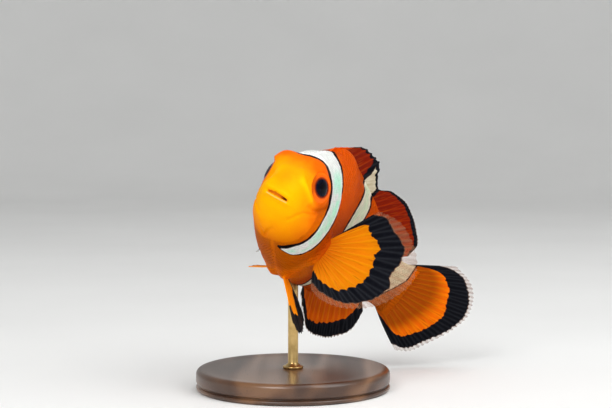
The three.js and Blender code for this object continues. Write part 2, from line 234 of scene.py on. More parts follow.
def turned(vectors, axes, degrees):
    """Each vector turned about its axis: v cos a + (axis x v) sin a + axis (axis . v)(1 - cos a)."""
    angle = np.radians(np.asarray(degrees, float))[..., None]
    along = np.sum(vectors * axes, -1, keepdims=True)
    across = np.cross(axes, vectors)
    return vectors * np.cos(angle) + across * np.sin(angle) + axes * along * (1 - np.cos(angle))


def bend_so_far(bend, at):
    """The degrees of a bend that each station has, by a smooth step along the fish."""
    degrees, start, end = bend
    return degrees * smoothstep(at, start, end)


def spine():
    """The spine's centre and its directions tail, left and back at even steps. The head's
    directions are turned by heading, pitch, roll and tilt, then at each station by the
    bends so far, and the centre is the running sum of the tail direction."""
    at = np.linspace(0, SPINE_END, SPINE_STEPS + 1)
    ones = np.ones((len(at), 1))
    axes = [ones * np.array(v) for v in ((0.0, 1.0, 0.0), (1.0, 0.0, 0.0), (0.0, 0.0, 1.0))]
    across = axes[1]
    for about, degrees in ((2, HEADING), (1, PITCH), (0, ROLL)):
        axes = [turned(a, axes[about], degrees) for a in axes]
    axes = [turned(a, across, TILT) for a in axes]
    swing = bend_so_far(BODY_BEND, at) + bend_so_far(FIN_BEND, at)
    bends = ((2, -swing), (1, bend_so_far(LIFT, at)), (0, bend_so_far(TWIST, at)))
    for about, degrees in bends:
        axes = [turned(a, axes[about], degrees) for a in axes]
    tail = axes[0]
    step = SPINE_END / SPINE_STEPS * STANDARD_LENGTH
    run = np.cumsum((tail[1:] + tail[:-1]) / 2 * step, axis=0)
    centre = np.array(SNOUT) + np.vstack([np.zeros((1, 3)), run])
    return [centre] + axes


SPINE = spine()


def spine_at(along):
    """Centre, tail, left and back at any station, straight between the spine's steps."""
    at = np.clip(along, 0, SPINE_END) / SPINE_END * SPINE_STEPS
    i = np.minimum(at.astype(int), SPINE_STEPS - 1)
    t = (at - i)[..., None]
    return [rows[i] * (1 - t) + rows[i + 1] * t for rows in SPINE]


def place(along, out, up):
    """The posed place of points of the straight fish, given as three arrays."""
    along, out, up = np.broadcast_arrays(*[np.asarray(v, float) for v in (along, out, up)])
    centre, tail, left, back = spine_at(along)
    ahead = np.minimum(along, 0)[..., None]
    offset = ahead * tail + out[..., None] * left + up[..., None] * back
    return centre + offset * STANDARD_LENGTH


# ---- meshes ----


def faces_volume(points, faces):
    """Six times the volume that triangles or quads close, positive where they face out."""
    total = 0
    for k in range(1, faces.shape[1] - 1):
        normal = np.cross(points[faces[:, k]], points[faces[:, k + 1]])
        total = total + np.sum(points[faces[:, 0]] * normal)
    return total


def mesh_object(name, points, faces, material):
    """A smooth mesh object in the scene, from points and a list of faces."""
    mesh = bpy.data.meshes.new(name)
    mesh.from_pydata(points.tolist(), [], faces)
    mesh.polygons.foreach_set("use_smooth", np.ones(len(mesh.polygons), bool))
    mesh.materials.append(material)
    made = bpy.data.objects.new(name, mesh)
    bpy.context.scene.collection.objects.link(made)
    return made


def new_piece(name, points, face_sets, material, corner_uv=None, attributes=None):
    """A piece from points and face arrays, turned face out as a whole. Corner coordinates go
    to the map OFBake, and each attribute is one value or vector a point."""
    inside_out = sum(faces_volume(points, f) for f in face_sets) < 0
    sets = [f[:, ::-1] if inside_out else f for f in face_sets]
    piece = mesh_object(name, points, [row for f in sets for row in f.tolist()], material)
    mesh = piece.data
    if corner_uv is not None:
        uv = [c[:, ::-1] if inside_out else c for c in corner_uv]
        layer = mesh.uv_layers.new(name="OFBake")
        layer.data.foreach_set("uv", np.concatenate([c.reshape(-1) for c in uv]).astype("f4"))
    for key, values in (attributes or {}).items():
        kind = "FLOAT" if values.ndim == 1 else "FLOAT_VECTOR"
        made = mesh.attributes.new(key, kind, "POINT")
        slot = "value" if values.ndim == 1 else "vector"
        made.data.foreach_set(slot, np.ascontiguousarray(values, "f4").reshape(-1))
    mesh.update()
    return piece


def grid_faces(rows, columns, closed=False):
    """Quads of a grid of points stored row by row. A closed grid also joins each row's last
    point to its first."""
    i = np.arange(rows - 1)[:, None]
    j = np.arange(columns if closed else columns - 1)[None, :]
    a = i * columns + j
    b = i * columns + (j + 1) % columns
    return np.stack([a, b, b + columns, a + columns], -1).reshape(-1, 4)


def ring_faces(rows, columns):
    """Face arrays that close a grid of rings: the quads between rings, then the triangles
    from the first ring to a point after the grid, and from the last ring to the next one."""
    j = np.arange(columns)
    beyond = (j + 1) % columns
    count = rows * columns
    front = np.stack([np.full(columns, count), beyond, j], -1)
    last = count - columns
    rear = np.stack([np.full(columns, count + 1), last + j, last + beyond], -1)
    return [grid_faces(rows, columns, closed=True), front, rear]


def carried_round(radius, height, count):
    """Rings about the upright axis, one for each radius and height of a profile."""
    turn = np.linspace(0, 2 * np.pi, count, endpoint=False)
    radius = radius[:, None]
    rings = [radius * np.cos(turn), radius * np.sin(turn), height[:, None] + 0 * turn]
    return np.stack(rings, -1)


def grid_places(u, v):
    """Map coordinates of a grid's points, its rows at u and its columns at v."""
    return np.stack(np.meshgrid(u, v, indexing="ij"), -1).reshape(-1, 2)


def grid_normals(points, closed=False):
    """Unit normals of a grid of points, from the differences of its neighbours."""
    down = np.gradient(points, axis=0)
    if closed:
        across = np.roll(points, -1, 1) - np.roll(points, 1, 1)
    else:
        across = np.gradient(points, axis=1)
    return unit(np.cross(across, down))


# ---- markings, in the straight fish's coordinates ----


def path_distance(points, path):
    """The distance in millimetres from each point to a bent line through a few points, all
    in the straight fish's coordinates."""
    nearest = np.full(points.shape[:-1], 1e9)
    path = np.asarray(path, float)
    for a, b in zip(path[:-1], path[1:]):
        run = b - a
        t = np.clip((points - a) @ run / (run @ run), 0, 1)
        nearest = np.minimum(nearest, np.linalg.norm(points - a - t[..., None] * run, axis=-1))
    return nearest * STANDARD_LENGTH / MM


def mirrored_distance(points, path):
    """Distance to a path and its mirror image, whichever is nearer."""
    folded = np.stack([points[..., 0], np.abs(points[..., 1]), points[..., 2]], -1)
    return path_distance(folded, path)


FIRST_BAR_LEVEL = 0.04
FIRST_BAR_FRONT = 0.229
FIRST_BAR_REAR = 0.314
SECOND_BAR_FRONT = 0.46
SECOND_BAR_REAR = 0.556
THIRD_BAR_REAR = 0.988
THIRD_BAR_WIDTH = 0.13


def first_bar(along, out, up):
    """Depth inside the first bar. Its front edge is a parabola of the height. Its rear edge
    leans forward above, draws out to a low peak on the nape, is a parabola below, and runs
    in to a point beside the throat. Outside the front edge the depth is shortened, which
    makes the dark line there wider, most of all towards the nape and the throat."""
    high = up - FIRST_BAR_LEVEL
    front = np.maximum(0.165, FIRST_BAR_FRONT - 2.2 * high**2)
    front = front - 0.014 * (1 - smoothstep(out, 0.0, 0.045)) * (up > 0)
    front_slope = np.where(front > 0.15, 4.4 * high, 0)
    above_rear = FIRST_BAR_REAR - 0.24 * (np.hypot(high, 0.03) - 0.03)
    rear = np.where(high > 0, above_rear, FIRST_BAR_REAR - 3.0 * high**2)
    rear = rear + 0.035 * bell(out, 0.03) * smoothstep(up, 0.1, 0.15)
    rear_slope = np.where(high > 0, 0.22 + 0.7 * bell(out - 0.02, 0.016), 6.0 * high)
    before = (along - front) / np.hypot(1, front_slope)
    spread = 2.0 + 2.4 * smoothstep(high, -0.01, 0.11)
    before = np.where(before < 0, before / spread, before)
    behind = (rear - along) / np.hypot(1, rear_slope)
    near_end = smoothstep(0.085 - out, 0.0, 0.03) * smoothstep(-up, 0.08, 0.12)
    widened = 0.75 - 0.22 * smoothstep(high, 0.1, 0.16)
    behind = np.where(behind < 0, behind * mix(widened, 3.0, near_end), behind)
    point = 0.166 + 1.1 * (out - 0.026) + 6 * np.maximum(out - 0.095, 0)
    point = np.where(up < -0.05, (point - along) / 1.4, 1.0)
    point = np.where(point < 0, 3.0 * point, point)
    return np.minimum(np.minimum(before, behind), point)


def bar_depth(along, out, up):
    """How far a point is inside a white bar, in millimetres, negative outside. Each bar has
    a front and a rear edge whose place along the fish is a parabola of the height, and the
    distance to an edge is taken square to it. On the right the first bar lies further
    back and narrows to a point below the cheek."""
    lag = 0.024 * smoothstep(-out, 0.04, 0.08) * smoothstep(-up, 0.0, 0.08)
    first = first_bar(along - lag, np.abs(out), up)
    first = first - 0.06 * smoothstep(-out, -0.02, 0.01) * smoothstep(-up, 0.03, 0.13)
    reach = np.minimum(np.abs(up), 0.22)
    front = SECOND_BAR_FRONT + 1.85 * reach**2
    rear = SECOND_BAR_REAR + np.where(up > 0, 1.3, -0.25) * reach**2
    front = front + 0.012 * smoothstep(up, 0.22, 0.27)
    before = (along - front) / np.hypot(1, 3.5 * reach)
    before = np.where(before < 0, before / (2.0 + 0.8 * smoothstep(up, 0.2, 0.27)), before)
    behind = rear - along
    behind = np.where(behind < 0, behind / (1.2 + 1.4 * smoothstep(up, 0.12, 0.2)), behind)
    second = np.minimum(before, behind)
    lean = 0.75 * np.maximum(0.045 - up, 0)
    rear = THIRD_BAR_REAR - lean
    third = np.minimum(along - (rear - THIRD_BAR_WIDTH + 0.5 * lean), rear - along) / 1.1
    deepest = np.maximum(np.maximum(first, second), third)
    return deepest * STANDARD_LENGTH / MM


def warmth(along, out, up):
    """0 for the yellow of the snout, 0.5 for orange, 0.78 for the red-orange of the flanks and
    1 for the dark red of the back fin, which is partly painted shade. It grows with the
    distance behind the snout and round the eye, and is less along the ridge in front of the
    eye and on the right brow, where highlights are painted."""
    value = 0.08 + 0.56 * smoothstep(along, 0.0, 0.16)
    above_mouth = bell(up - 0.052, 0.036) * bell(out, 0.036)
    value = value + 0.26 * above_mouth * (1 - smoothstep(along, 0.04, 0.1))
    from_eye = np.hypot(along - EYE_ALONG - 0.006, up - EYE_UP - 0.026)
    value = value + 0.3 * bell(from_eye, 0.06) * smoothstep(np.abs(out), 0.03, 0.07)
    value = value + 0.09 * smoothstep(up, 0.085, 0.12)
    value = value - 0.05 * smoothstep(-up, 0.02, 0.08) * (1 - smoothstep(along, 0.12, 0.18))
    points = np.stack(np.broadcast_arrays(along, out, up), -1)
    # Painted highlight: the ridge in front of the eye is made yellower.
    value = value - 0.34 * bell(mirrored_distance(points, EYE_RIDGE[1:4]), 1.0)
    value = np.minimum(value, 0.74)
    # Painted highlight: the right brow is made yellower.
    value = value - 0.2 * bell(path_distance(points, RIGHT_BROW_HIGHLIGHT), 1.7)
    flank = smoothstep(along, 0.27, 0.33)
    side = mix(0.8, 0.62, smoothstep(-up, 0.07, 0.15) * (1 - smoothstep(along, 0.4, 0.5)))
    side = mix(side, 0.66, smoothstep(along, 0.8, 0.95))
    value = mix(value, side, flank)
    return np.clip(value, 0, 1)


def bar_painted_shade(along):
    """How far the white of a bar is darkened to tan as painted shade: not in the first bar, most in the
    last.
    """
    return 0.6 * smoothstep(along, 0.38, 0.42) + 0.25 * smoothstep(along, 0.75, 0.8)


def painted_shade_and_deeper_orange(along, out, up):
    """What is left of the orange's strength, 1 on the face: each darker place takes a share
    away, and their shares are multiplied. The shares are partly the deeper orange of the
    breast and flanks and partly painted shade, where the light falls off under the throat and
    breast, down the flank and towards the tail, and in the crease below the eye, which holds
    a painted shadow."""
    low = smoothstep(-up, 0.05, 0.14) * smoothstep(along, 0.06, 0.16)
    low = low * (1 - 0.8 * smoothstep(along, 0.27, 0.32))
    side = smoothstep(0.12 - up, 0.0, 0.14) * smoothstep(along, 0.24, 0.3)
    side = side * (1 - 0.8 * smoothstep(-up, 0.09, 0.16))
    rear = smoothstep(along, 0.36, 0.5)
    points = np.stack(np.broadcast_arrays(along, out, up), -1)
    # A painted shadow in the crease below the eye.
    crease = bell(mirrored_distance(points, CHEEK_SHADE), 1.3)
    return (1 - 0.36 * low) * (1 - 0.38 * side) * (1 - 0.25 * rear) * (1 - 0.3 * crease)


def markings(local):
    """The values at each point from which the skin and the scales take their colours."""
    return {
        "bar_depth": bar_depth(*local.T),
        "warmth": warmth(*local.T),
        "tan": bar_painted_shade(local[:, 0]),
        "painted_shade_and_deeper_orange": painted_shade_and_deeper_orange(*local.T),
    }


# ---- the skin ----


def skin_extents(along):
    """Height above and below the spine and half width of the skin. They are the body's less
    the depth of the coat, rounded off like a quarter circle at the snout, and the sides draw
    together where the tail fin grows out."""
    t = np.clip((along - SKIN_START) / SNOUT_ROUNDING, 0, 1)
    round_off = np.sqrt(1 - (1 - t) ** 2)
    thin = smoothstep(along, TAIL_TAPER_START, SKIN_END)
    side = (half_width(along) - COAT_DEPTH) * (1 - thin) + TAIL_END_HALF_WIDTH * thin
    return (
        (above(along) - COAT_DEPTH) * round_off,
        (below(along) - COAT_DEPTH) * round_off,
        side * round_off,
    )


def ring_point(along, angle):
    """Out and up of a ring's point: sine and cosine of its angle from the back, each raised
    to the ring's squareness and scaled to the ring's width and height."""
    high, low, side = skin_extents(along)
    up = np.cos(angle)
    out = np.sin(angle)
    power = np.where(up > 0, BACK_SQUARENESS, BELLY_SQUARENESS)
    height = np.where(up > 0, high, low)
    return (
        np.sign(out) * np.abs(out) ** power * side,
        np.sign(up) * np.abs(up) ** power * height,
    )


def ring_stations(count):
    """Stations of the rings, evenly spaced along the body's outline, three times as close
    on the head as on the tail."""
    at = np.linspace(SKIN_START, SKIN_END, 6001)
    high, _, side = skin_extents(at)
    run = np.sqrt(np.gradient(at) ** 2 + (np.gradient(high) ** 2 + np.gradient(side) ** 2) / 2)
    density = 1 - 0.62 * smoothstep(at, 0.26, 0.44)
    total = np.cumsum(run * density)
    share = np.linspace(total[0], total[-1], count + 1)[1:]
    return np.interp(share, total, at)


def ring_angles(along, count):
    """For each ring, the angles of points that are evenly spaced round it."""
    fine = np.linspace(0, 2 * np.pi, 1441)
    out, up = ring_point(along[:, None], fine[None, :])
    run = np.hypot(np.diff(out, axis=1), np.diff(up, axis=1))
    total = np.hstack([np.zeros((len(along), 1)), np.cumsum(run, axis=1)])
    share = np.linspace(0, 1, count, endpoint=False)
    rows = [np.interp(share * row[-1], row, fine) for row in total]
    return np.array(rows)


def mouth_line(out):
    """Height of the mouth's slit, almost straight. The jaw is a little askew, so the slit is
    lower on the left."""
    return -0.0072 - MOUTH_SLOPE * out - 0.9 * (out - MOUTH_MIDDLE) ** 2


def mouth_shape(along, out, up):
    """Height above the mouth's slit in millimetres, half the slit's opening there, and the
    share of the slit that is present: it narrows to its corners like a half ellipse."""
    from_slit = (up - mouth_line(out)) * STANDARD_LENGTH / MM
    wide = np.clip(1 - ((out - MOUTH_MIDDLE) / MOUTH_HALF_WIDTH) ** 2, 0, 1)
    opening = 0.05 + 0.24 * np.sqrt(wide)
    front = 1 - smoothstep(along, *MOUTH_FADE)
    return from_slit, opening, front * smoothstep(wide, 0.0, 0.2)


def mouth_tint(along, out, up):
    """The mouth's colours: below zero inside the slit and lowest at its left corner, where
    painted shade deepens, above zero on the lower lip's edge, where a highlight is painted,
    and zero elsewhere."""
    from_slit, opening, slit = mouth_shape(along, out, up)
    inside = 1 - smoothstep(np.abs(from_slit), opening, opening + 0.1)
    # Painted highlight along the lower lip's edge.
    edge = bell(from_slit + opening + 0.24, 0.14)
    # Painted shade deepens inside the slit towards its left corner.
    corner = smoothstep(out, MOUTH_MIDDLE + 0.004, MOUTH_MIDDLE + 0.034)
    return slit * (edge - (1 + corner) * inside)


def skin_relief(along, out, up):
    """How far the skin stands out from the plain body, in millimetres: the sum of lips,
    folds, ridges, gill edges and fleshy fin bases, each a bell-shaped bump or groove about a
    line or point of the straight fish."""
    points = np.stack([along, out, up], -1)
    x, y, z = np.moveaxis(points, -1, 0) * STANDARD_LENGTH / MM
    relief = np.zeros_like(along)
    for left, right, width, line in RELIEF:
        relief += np.where(out > 0, left, right) * bell(mirrored_distance(points, line), width)
    for height, width, line in RIGHT_RELIEF:
        relief += height * bell(path_distance(points, line), width)

    # The lips, and the slit between them.
    from_slit, opening, slit = mouth_shape(along, out, up)
    lips = (1 - smoothstep(along, *MOUTH_FADE)) * (1 - smoothstep(np.abs(out), 0.03, 0.06))
    for height, middle, width in LIPS:
        relief += height * lips * bell(from_slit - middle, width)
    relief -= 0.6 * slit * (1 - smoothstep(np.abs(from_slit), opening * 0.5, opening + 0.14))

    # The throat's folds meet in a V under the chin, a little to the right.
    askew = points + np.array([0.0, 0.03, 0.0])
    relief -= 0.3 * bell(mirrored_distance(askew, THROAT_FOLD), 0.36)
    relief += 0.16 * bell(mirrored_distance(askew, CHIN_RIDGE), 1.2)

    # One nostril on each side, a pit with a raised rim.
    nostril = mirrored_distance(points, NOSTRIL)
    relief += 0.13 * bell(nostril - 0.42, 0.16) - 0.4 * bell(nostril, 0.26)

    # The cheek's bony edge, and the gill cover's free edge with the step behind it.
    beyond = x - (CHEEK_EDGE - 2.2 * (up + 0.01) ** 2) * STANDARD_LENGTH / MM
    level = window(up, -0.15, -0.1, 0.06, 0.1)
    relief -= 0.16 * level * bell(beyond, 0.34)
    gill_edge = GILL_EDGE - 1.6 * (up + 0.005) ** 2 - 2.4 * np.clip(-0.06 - up, 0, 1) ** 2
    beyond = x - gill_edge * STANDARD_LENGTH / MM
    level = window(up, -0.19, -0.15, 0.09, 0.13)
    shelf = smoothstep(beyond, 0.0, 0.2) * np.exp(-np.clip(beyond, 0, None) / 1.5)
    relief += level * (0.08 * np.exp(-np.abs(beyond) / 0.8) - 0.46 * shelf)

    # Fleshy bases of the back, anal and tail fins.
    relief += 1.25 * window(along, 0.4, 0.52, 0.84, 0.9) * bell(y, 0.8) * (up > 0)
    relief += 1.2 * window(along, 0.6, 0.65, 0.83, 0.88) * bell(y, 0.8) * (up < 0)
    rays = bell(z, 4.6) * smoothstep(along, 0.93, 0.985)
    relief += 0.06 * rays * np.cos(z * 2 * np.pi / 0.72)
    return relief


def eye_axis(side):
    """Centre of an eye and the direction in which it looks (side is 1 or -1)."""
    centre = place(EYE_ALONG, side * EYE_OUT, EYE_UP)
    _, tail, left, back = spine_at(np.array(EYE_ALONG))
    look = side * left - np.tan(np.radians(EYE_FORWARD_DEGREES)) * tail
    look = look + np.tan(np.radians(EYE_UP_DEGREES)) * back
    return centre, unit(look)


def about_eye(points, side):
    """How far points lie along an eye's line of sight and how far from it, and that line."""
    centre, look = eye_axis(side)
    offset = points - centre
    depth = offset @ look
    return depth, np.linalg.norm(offset - depth[..., None] * look, axis=-1), look


def with_socket(points, side):
    """Skin round an eye. Inside the opening it drops behind the eyeball. Outside, it rises
    towards the eye's rim like one side of a bell, up to EYE_SWELL."""
    depth, radius, look = about_eye(points, side)
    facing = smoothstep(depth, -0.2 * MM, 0.6 * MM)
    inside = (1 - smoothstep(radius, EYE_OPENING - 0.1 * MM, EYE_OPENING + 0.42 * MM)) * facing
    past = (radius - EYE_OPENING) / MM
    missing = np.clip(EYE_RIM_DEPTH - depth, 0, EYE_SWELL)
    swell = missing * bell(np.clip(past - 0.3, 0, None), 0.85) * facing
    rim = 0.1 * bell(past - 0.5, 0.24) * MM * facing
    lift = (1.3 * MM - depth) * inside + (swell + rim) * (1 - inside)
    return points + look * lift[..., None]


def make_skin_grid():
    """The skin as a grid of rings: plain body, then relief along its normals, then the eye
    sockets. Returns stations, straight coordinates, points and normals."""
    along = ring_stations(SKIN_RINGS)
    angle = ring_angles(along, SKIN_POINTS)
    at = np.broadcast_to(along[:, None], angle.shape)
    out, up = ring_point(at, angle)
    points = place(at, out, up)
    normals = grid_normals(points, closed=True)
    facing = np.sign(np.sum(normals * (points - spine_at(at)[0])))
    points = points + facing * normals * (skin_relief(at, out, up) * MM)[..., None]
    for side in (1, -1):
        points = with_socket(points, side)
    normals = facing * grid_normals(points, closed=True)
    return along, np.stack([at, out, up], -1), points, normals


def make_skin(grid, material):
    """The skin as one closed mesh: the grid of rings with a point at the snout and one at the
    root of the tail. Its map lays the left and right halves side by side, with the length
    of the outline across and the share of the ring's girth up."""
    _, straight, points, _ = grid
    rows, columns = points.shape[:2]
    flat = np.vstack([points.reshape(-1, 3), points[0].mean(0), points[-1].mean(0)])
    local = np.vstack([straight.reshape(-1, 3), straight[0].mean(0), straight[-1].mean(0)])
    u = 0.01 + 0.98 * np.arange(1, rows + 1) / (rows + 1)
    v = np.arange(columns + 1) / columns
    edge = np.where(np.arange(columns) < columns // 2, MAP_EDGE, MAP_SEAM)
    quad_uv = grid_places(u, v)[grid_faces(rows, columns + 1)].reshape(rows - 1, columns, 4, 2)
    quad_uv[..., 1] = edge[:, None] + MAP_SPAN * quad_uv[..., 1]
    a = edge + MAP_SPAN * v[:-1]
    b = edge + MAP_SPAN * v[1:]
    middle = (a + b) / 2
    ones = np.ones(columns)
    front_uv = np.stack([MAP_EDGE * ones, middle, u[0] * ones, b, u[0] * ones, a], -1)
    rear_uv = np.stack([ones - MAP_EDGE, middle, u[-1] * ones, a, u[-1] * ones, b], -1)
    corner_uv = [quad_uv.reshape(-1, 4, 2), front_uv.reshape(-1, 3, 2), rear_uv.reshape(-1, 3, 2)]
    attributes = {**markings(local), "mouth": mouth_tint(*local.T)}
    return new_piece("skin", flat, ring_faces(rows, columns), material, corner_uv, attributes)


# ---- the scales ----

SCALE_PITCH_ALONG = 0.92 * MM
SCALE_PITCH_ACROSS = 0.66 * MM
SCALE_CELLS = 4
SCALE_ROWS_EACH_WAY = 44
# Heights of a scale's parts: how deep its root is, how much higher the rear edge is, and how
# far its top and underside are domed.
SCALE_ROOT = 0.045
SCALE_RISE = 0.1
SCALE_DOME = 0.03
SCALE_KEEL = 0.035
SCALE_JITTER = 0.0006
LEAST_COVER = 0.12
MIDDLE_ROW_SHARE = 0.238
MAP_PATCH = 0.0015
COAT_START = 0.118
COAT_END = 0.985


def scale_size(along):
    """Size of the scales against the flank's: about half on the cheek, growing to full size
    behind the gills and smaller again towards the tail."""
    return mix(0.5, 1.0, smoothstep(along, 0.14, 0.38)) * (1 - 0.28 * smoothstep(along, 0.7, 1.0))


def sample_grid(grid, rows, columns):
    """Values of a ring grid between its points, blended from the four nearest. Columns run
    round the ring without end."""
    i = np.clip(rows.astype(int), 0, grid.shape[0] - 2)
    wrapped = np.mod(columns, grid.shape[1])
    j = wrapped.astype(int) % grid.shape[1]
    k = (j + 1) % grid.shape[1]
    s = np.clip(rows - i, 0, 1)[..., None]
    t = (wrapped - wrapped.astype(int))[..., None]
    upper = grid[i, j] * (1 - t) + grid[i, k] * t
    lower = grid[i + 1, j] * (1 - t) + grid[i + 1, k] * t
    return upper * (1 - s) + lower * s


def scale_outline():
    """One scale as a lens: a square grid drawn out to a disc by x = a sqrt(1 - b^2 / 2) and
    y = b sqrt(1 - a^2 / 2). The top rises to the rear edge with a slight dome, and the
    bottom shares the top's rim. Returns x, y, a height for each point, and the faces."""
    n = SCALE_CELLS + 1
    a, b = np.meshgrid(np.linspace(-1, 1, n), np.linspace(-1, 1, n), indexing="ij")
    x = a * np.sqrt(1 - b**2 / 2)
    y = b * np.sqrt(1 - a**2 / 2)
    edge = np.clip(x**2 + y**2, 0, 1)
    rise = SCALE_RISE * ((x + 1) / 2) ** 1.4 - SCALE_ROOT
    top = rise + SCALE_DOME * (1 - edge)
    inner = np.zeros((n, n), bool)
    inner[1:-1, 1:-1] = True
    index = np.arange(n * n).reshape(n, n)
    under = index.copy()
    under[inner] = n * n + np.arange(inner.sum())
    quads = grid_faces(n, n)
    faces = np.vstack([quads, under.reshape(-1)[quads][:, ::-1]])
    bottom = (rise - SCALE_KEEL * (1 - edge))[inner]
    return (
        np.concatenate([x.reshape(-1), x[inner]]),
        np.concatenate([y.reshape(-1), y[inner]]),
        np.concatenate([top.reshape(-1), bottom]),
        faces,
    )


def scale_roots(side, along, girth):
    """Stations and ring shares of the scales' middles on one side. Rows run along the body at
    even steps of arc from the mid line, every second row set half a scale back, and the
    steps shrink with the size of the scales."""
    fine = np.linspace(COAT_START, COAT_END, 3001)
    count = np.cumsum(STANDARD_LENGTH / (SCALE_PITCH_ALONG * scale_size(fine)))
    count = count * (fine[1] - fine[0])
    rows = np.arange(-SCALE_ROWS_EACH_WAY, SCALE_ROWS_EACH_WAY + 1)
    steps = np.arange(0, int(count[-1]))
    row, step = np.meshgrid(rows, steps, indexing="ij")
    at = np.interp(step + 0.5 * (row % 2) + 0.1, count, fine)
    at = at + rng.normal(0, SCALE_JITTER, at.shape) * scale_size(at)
    arc = row * SCALE_PITCH_ACROSS * scale_size(at)
    girths = np.interp(at, along, girth)
    share = MIDDLE_ROW_SHARE + arc / girths
    margin = 0.35 * MM / girths
    keep = (share > margin) & (share < 0.5 - margin)
    at = at[keep]
    share = share[keep]
    return at, share if side > 0 else 1 - share


def scale_cover(straight, points):
    """How fully the scales are grown at each root, 0 for none: none round the eye, on the
    snout, under the throat's front, or on the fleshy bases of the paired fins."""
    along, _, up = straight.T
    edge = 0.15 - 0.25 * np.clip(-0.02 - up, 0, 0.12) + 0.6 * np.clip(up - 0.1, 0, 0.1)
    cover = smoothstep(along, edge, edge + 0.05)
    for side in (1, -1):
        depth, radius, _ = about_eye(points, side)
        near = 1 - smoothstep(radius, EYE_OPENING + 1.2 * MM, EYE_OPENING + 1.9 * MM)
        cover = cover * (1 - near * (depth > -2 * MM))
    cover = cover * smoothstep(mirrored_distance(straight, PECTORAL_BASE), 1.0, 1.8)
    return cover * smoothstep(mirrored_distance(straight, PELVIC_BASE), 0.9, 1.5)


def make_scales(name, side, grid, material):
    """One side's scales, joined as one mesh. Each scale's grid is carried to the skin by its
    root's station and ring share, and stands out along the skin's normal. In the map each
    is a patch 0.003 across at its root's place on the skin."""
    along, straight, points, normals = grid
    columns = points.shape[1]
    girth = np.linalg.norm(np.roll(points, -1, 1) - points, axis=-1).sum(1)
    at, share = scale_roots(side, along, girth)
    row = np.interp(at, along, np.arange(len(along)))
    root = sample_grid(straight, row, share * columns)
    cover = scale_cover(root, sample_grid(points, row, share * columns))
    kept = cover > LEAST_COVER
    at = at[kept]
    share = share[kept]
    cover = cover[kept]
    x, y, height, faces = scale_outline()
    size = scale_size(at) * mix(0.8, 1.0, cover) * rng.uniform(0.95, 1.06, len(at))
    length = 0.74 * SCALE_PITCH_ALONG * size
    width = SCALE_PITCH_ACROSS * size
    lift = size * mix(0.35, 1.0, cover) * rng.uniform(0.8, 1.15, len(at))
    girths = np.interp(at, along, girth)
    stations = at[:, None] + x * length[:, None] / STANDARD_LENGTH
    shares = share[:, None] + side * y * (width / girths)[:, None]
    rows = np.interp(stations, along, np.arange(len(along)))
    base = sample_grid(points, rows, shares * columns)
    normal = unit(sample_grid(normals, rows, shares * columns))
    local = sample_grid(straight, rows, shares * columns)
    placed = base + normal * (height * lift[:, None] * MM)[..., None]
    many = len(at)
    each = len(x)
    all_faces = (faces[None] + each * np.arange(many)[:, None, None]).reshape(-1, 4)
    root_u = 0.02 + 0.96 * np.interp(at, along, np.linspace(0, 1, len(along)))
    root_v = 0.02 + 0.96 * np.clip(2 * (share if side > 0 else 1 - share), 0, 1)
    u = root_u[:, None] + MAP_PATCH * x
    v = root_v[:, None] + MAP_PATCH * y
    uv = np.stack([u, v], -1).reshape(-1, 2)[all_faces]
    tint = np.repeat(rng.uniform(0, 1, many), each)
    own = np.stack([np.tile(x, many), np.tile(y, many), tint], -1)
    attributes = {**markings(local.reshape(-1, 3)), "scale": own}
    return new_piece(name, placed.reshape(-1, 3), [all_faces], material, [uv], attributes)


# ---- the eyes ----

# Distance from the line of sight, and height above the eye's centre: the lens bulges out of
# the pupil, and the iris is a shallow cone round it.
EYE_PROFILE_MM = (
    (0.0, 0.6, 1.2, 1.7, 1.92, 2.02, 2.25, 2.7, 3.1, 3.4, 3.55),
    (2.78, 2.74, 2.65, 2.5, 2.4, 2.35, 2.38, 2.32, 2.2, 1.96, 1.7),
)
EYE_BACK_MM = 2.4
EYE_SPOKES = 96
EYE_HIDDEN_MM = 4.0
# How much wider than tall the pupil is.
PUPIL_OVAL = 1.12


def make_eye(name, side, material):
    """An eyeball: its profile carried round the line of sight, from the middle of the pupil
    outwards and then round a half ellipse to the back. Each point keeps its distance from
    the line of sight in millimetres and its place across the eye."""
    widest = EYE_PROFILE_MM[0][-1]
    front = np.linspace(0, widest, 64)
    height = curve(*EYE_PROFILE_MM)(front)
    behind = np.linspace(0, np.pi / 2, 14)[1:]
    radius = np.concatenate([front, widest * np.cos(behind)])
    depth = np.concatenate([height, height[-1] - EYE_BACK_MM * np.sin(behind)])
    centre, look = eye_axis(side)
    _, tail, _, back = spine_at(np.array(EYE_ALONG))
    across = unit(np.cross(look, np.cross(tail, look)))
    upward = unit(np.cross(look, across))
    upward = upward * np.sign(upward @ back)
    rings = carried_round(radius, depth, EYE_SPOKES)
    points = centre + rings * MM @ np.array([across, upward, look])
    flat = np.vstack([points[1:].reshape(-1, 3), points[0].mean(0), points[-1].mean(0)])
    seen = np.where(np.arange(len(radius)) < len(front), radius, EYE_HIDDEN_MM)
    x, y, _ = np.moveaxis(carried_round(seen[1:], depth[1:], EYE_SPOKES).reshape(-1, 3), -1, 0)
    place_in_eye = np.stack([np.hypot(x, PUPIL_OVAL * y), x, y], -1)
    place_in_eye = np.vstack([place_in_eye, [0, 0, 0], [EYE_HIDDEN_MM, 0, 0]])
    faces = ring_faces(len(radius) - 1, EYE_SPOKES)
    return new_piece(name, flat, faces, material, None, {"eye": place_in_eye})


# ---- the fins ----

FIN_ROOT_DEPTH = 0.014
FIN_BASE_HALF_MM = 0.16
FIN_TIP_HALF_MM = 0.09
MEMBRANE_HALF_MM = 0.07
ROOT_SWELL_MM = 0.2
THICKEST_HALF_MM = (0.46, 0.26)
MARGIN_THINNING = 0.35
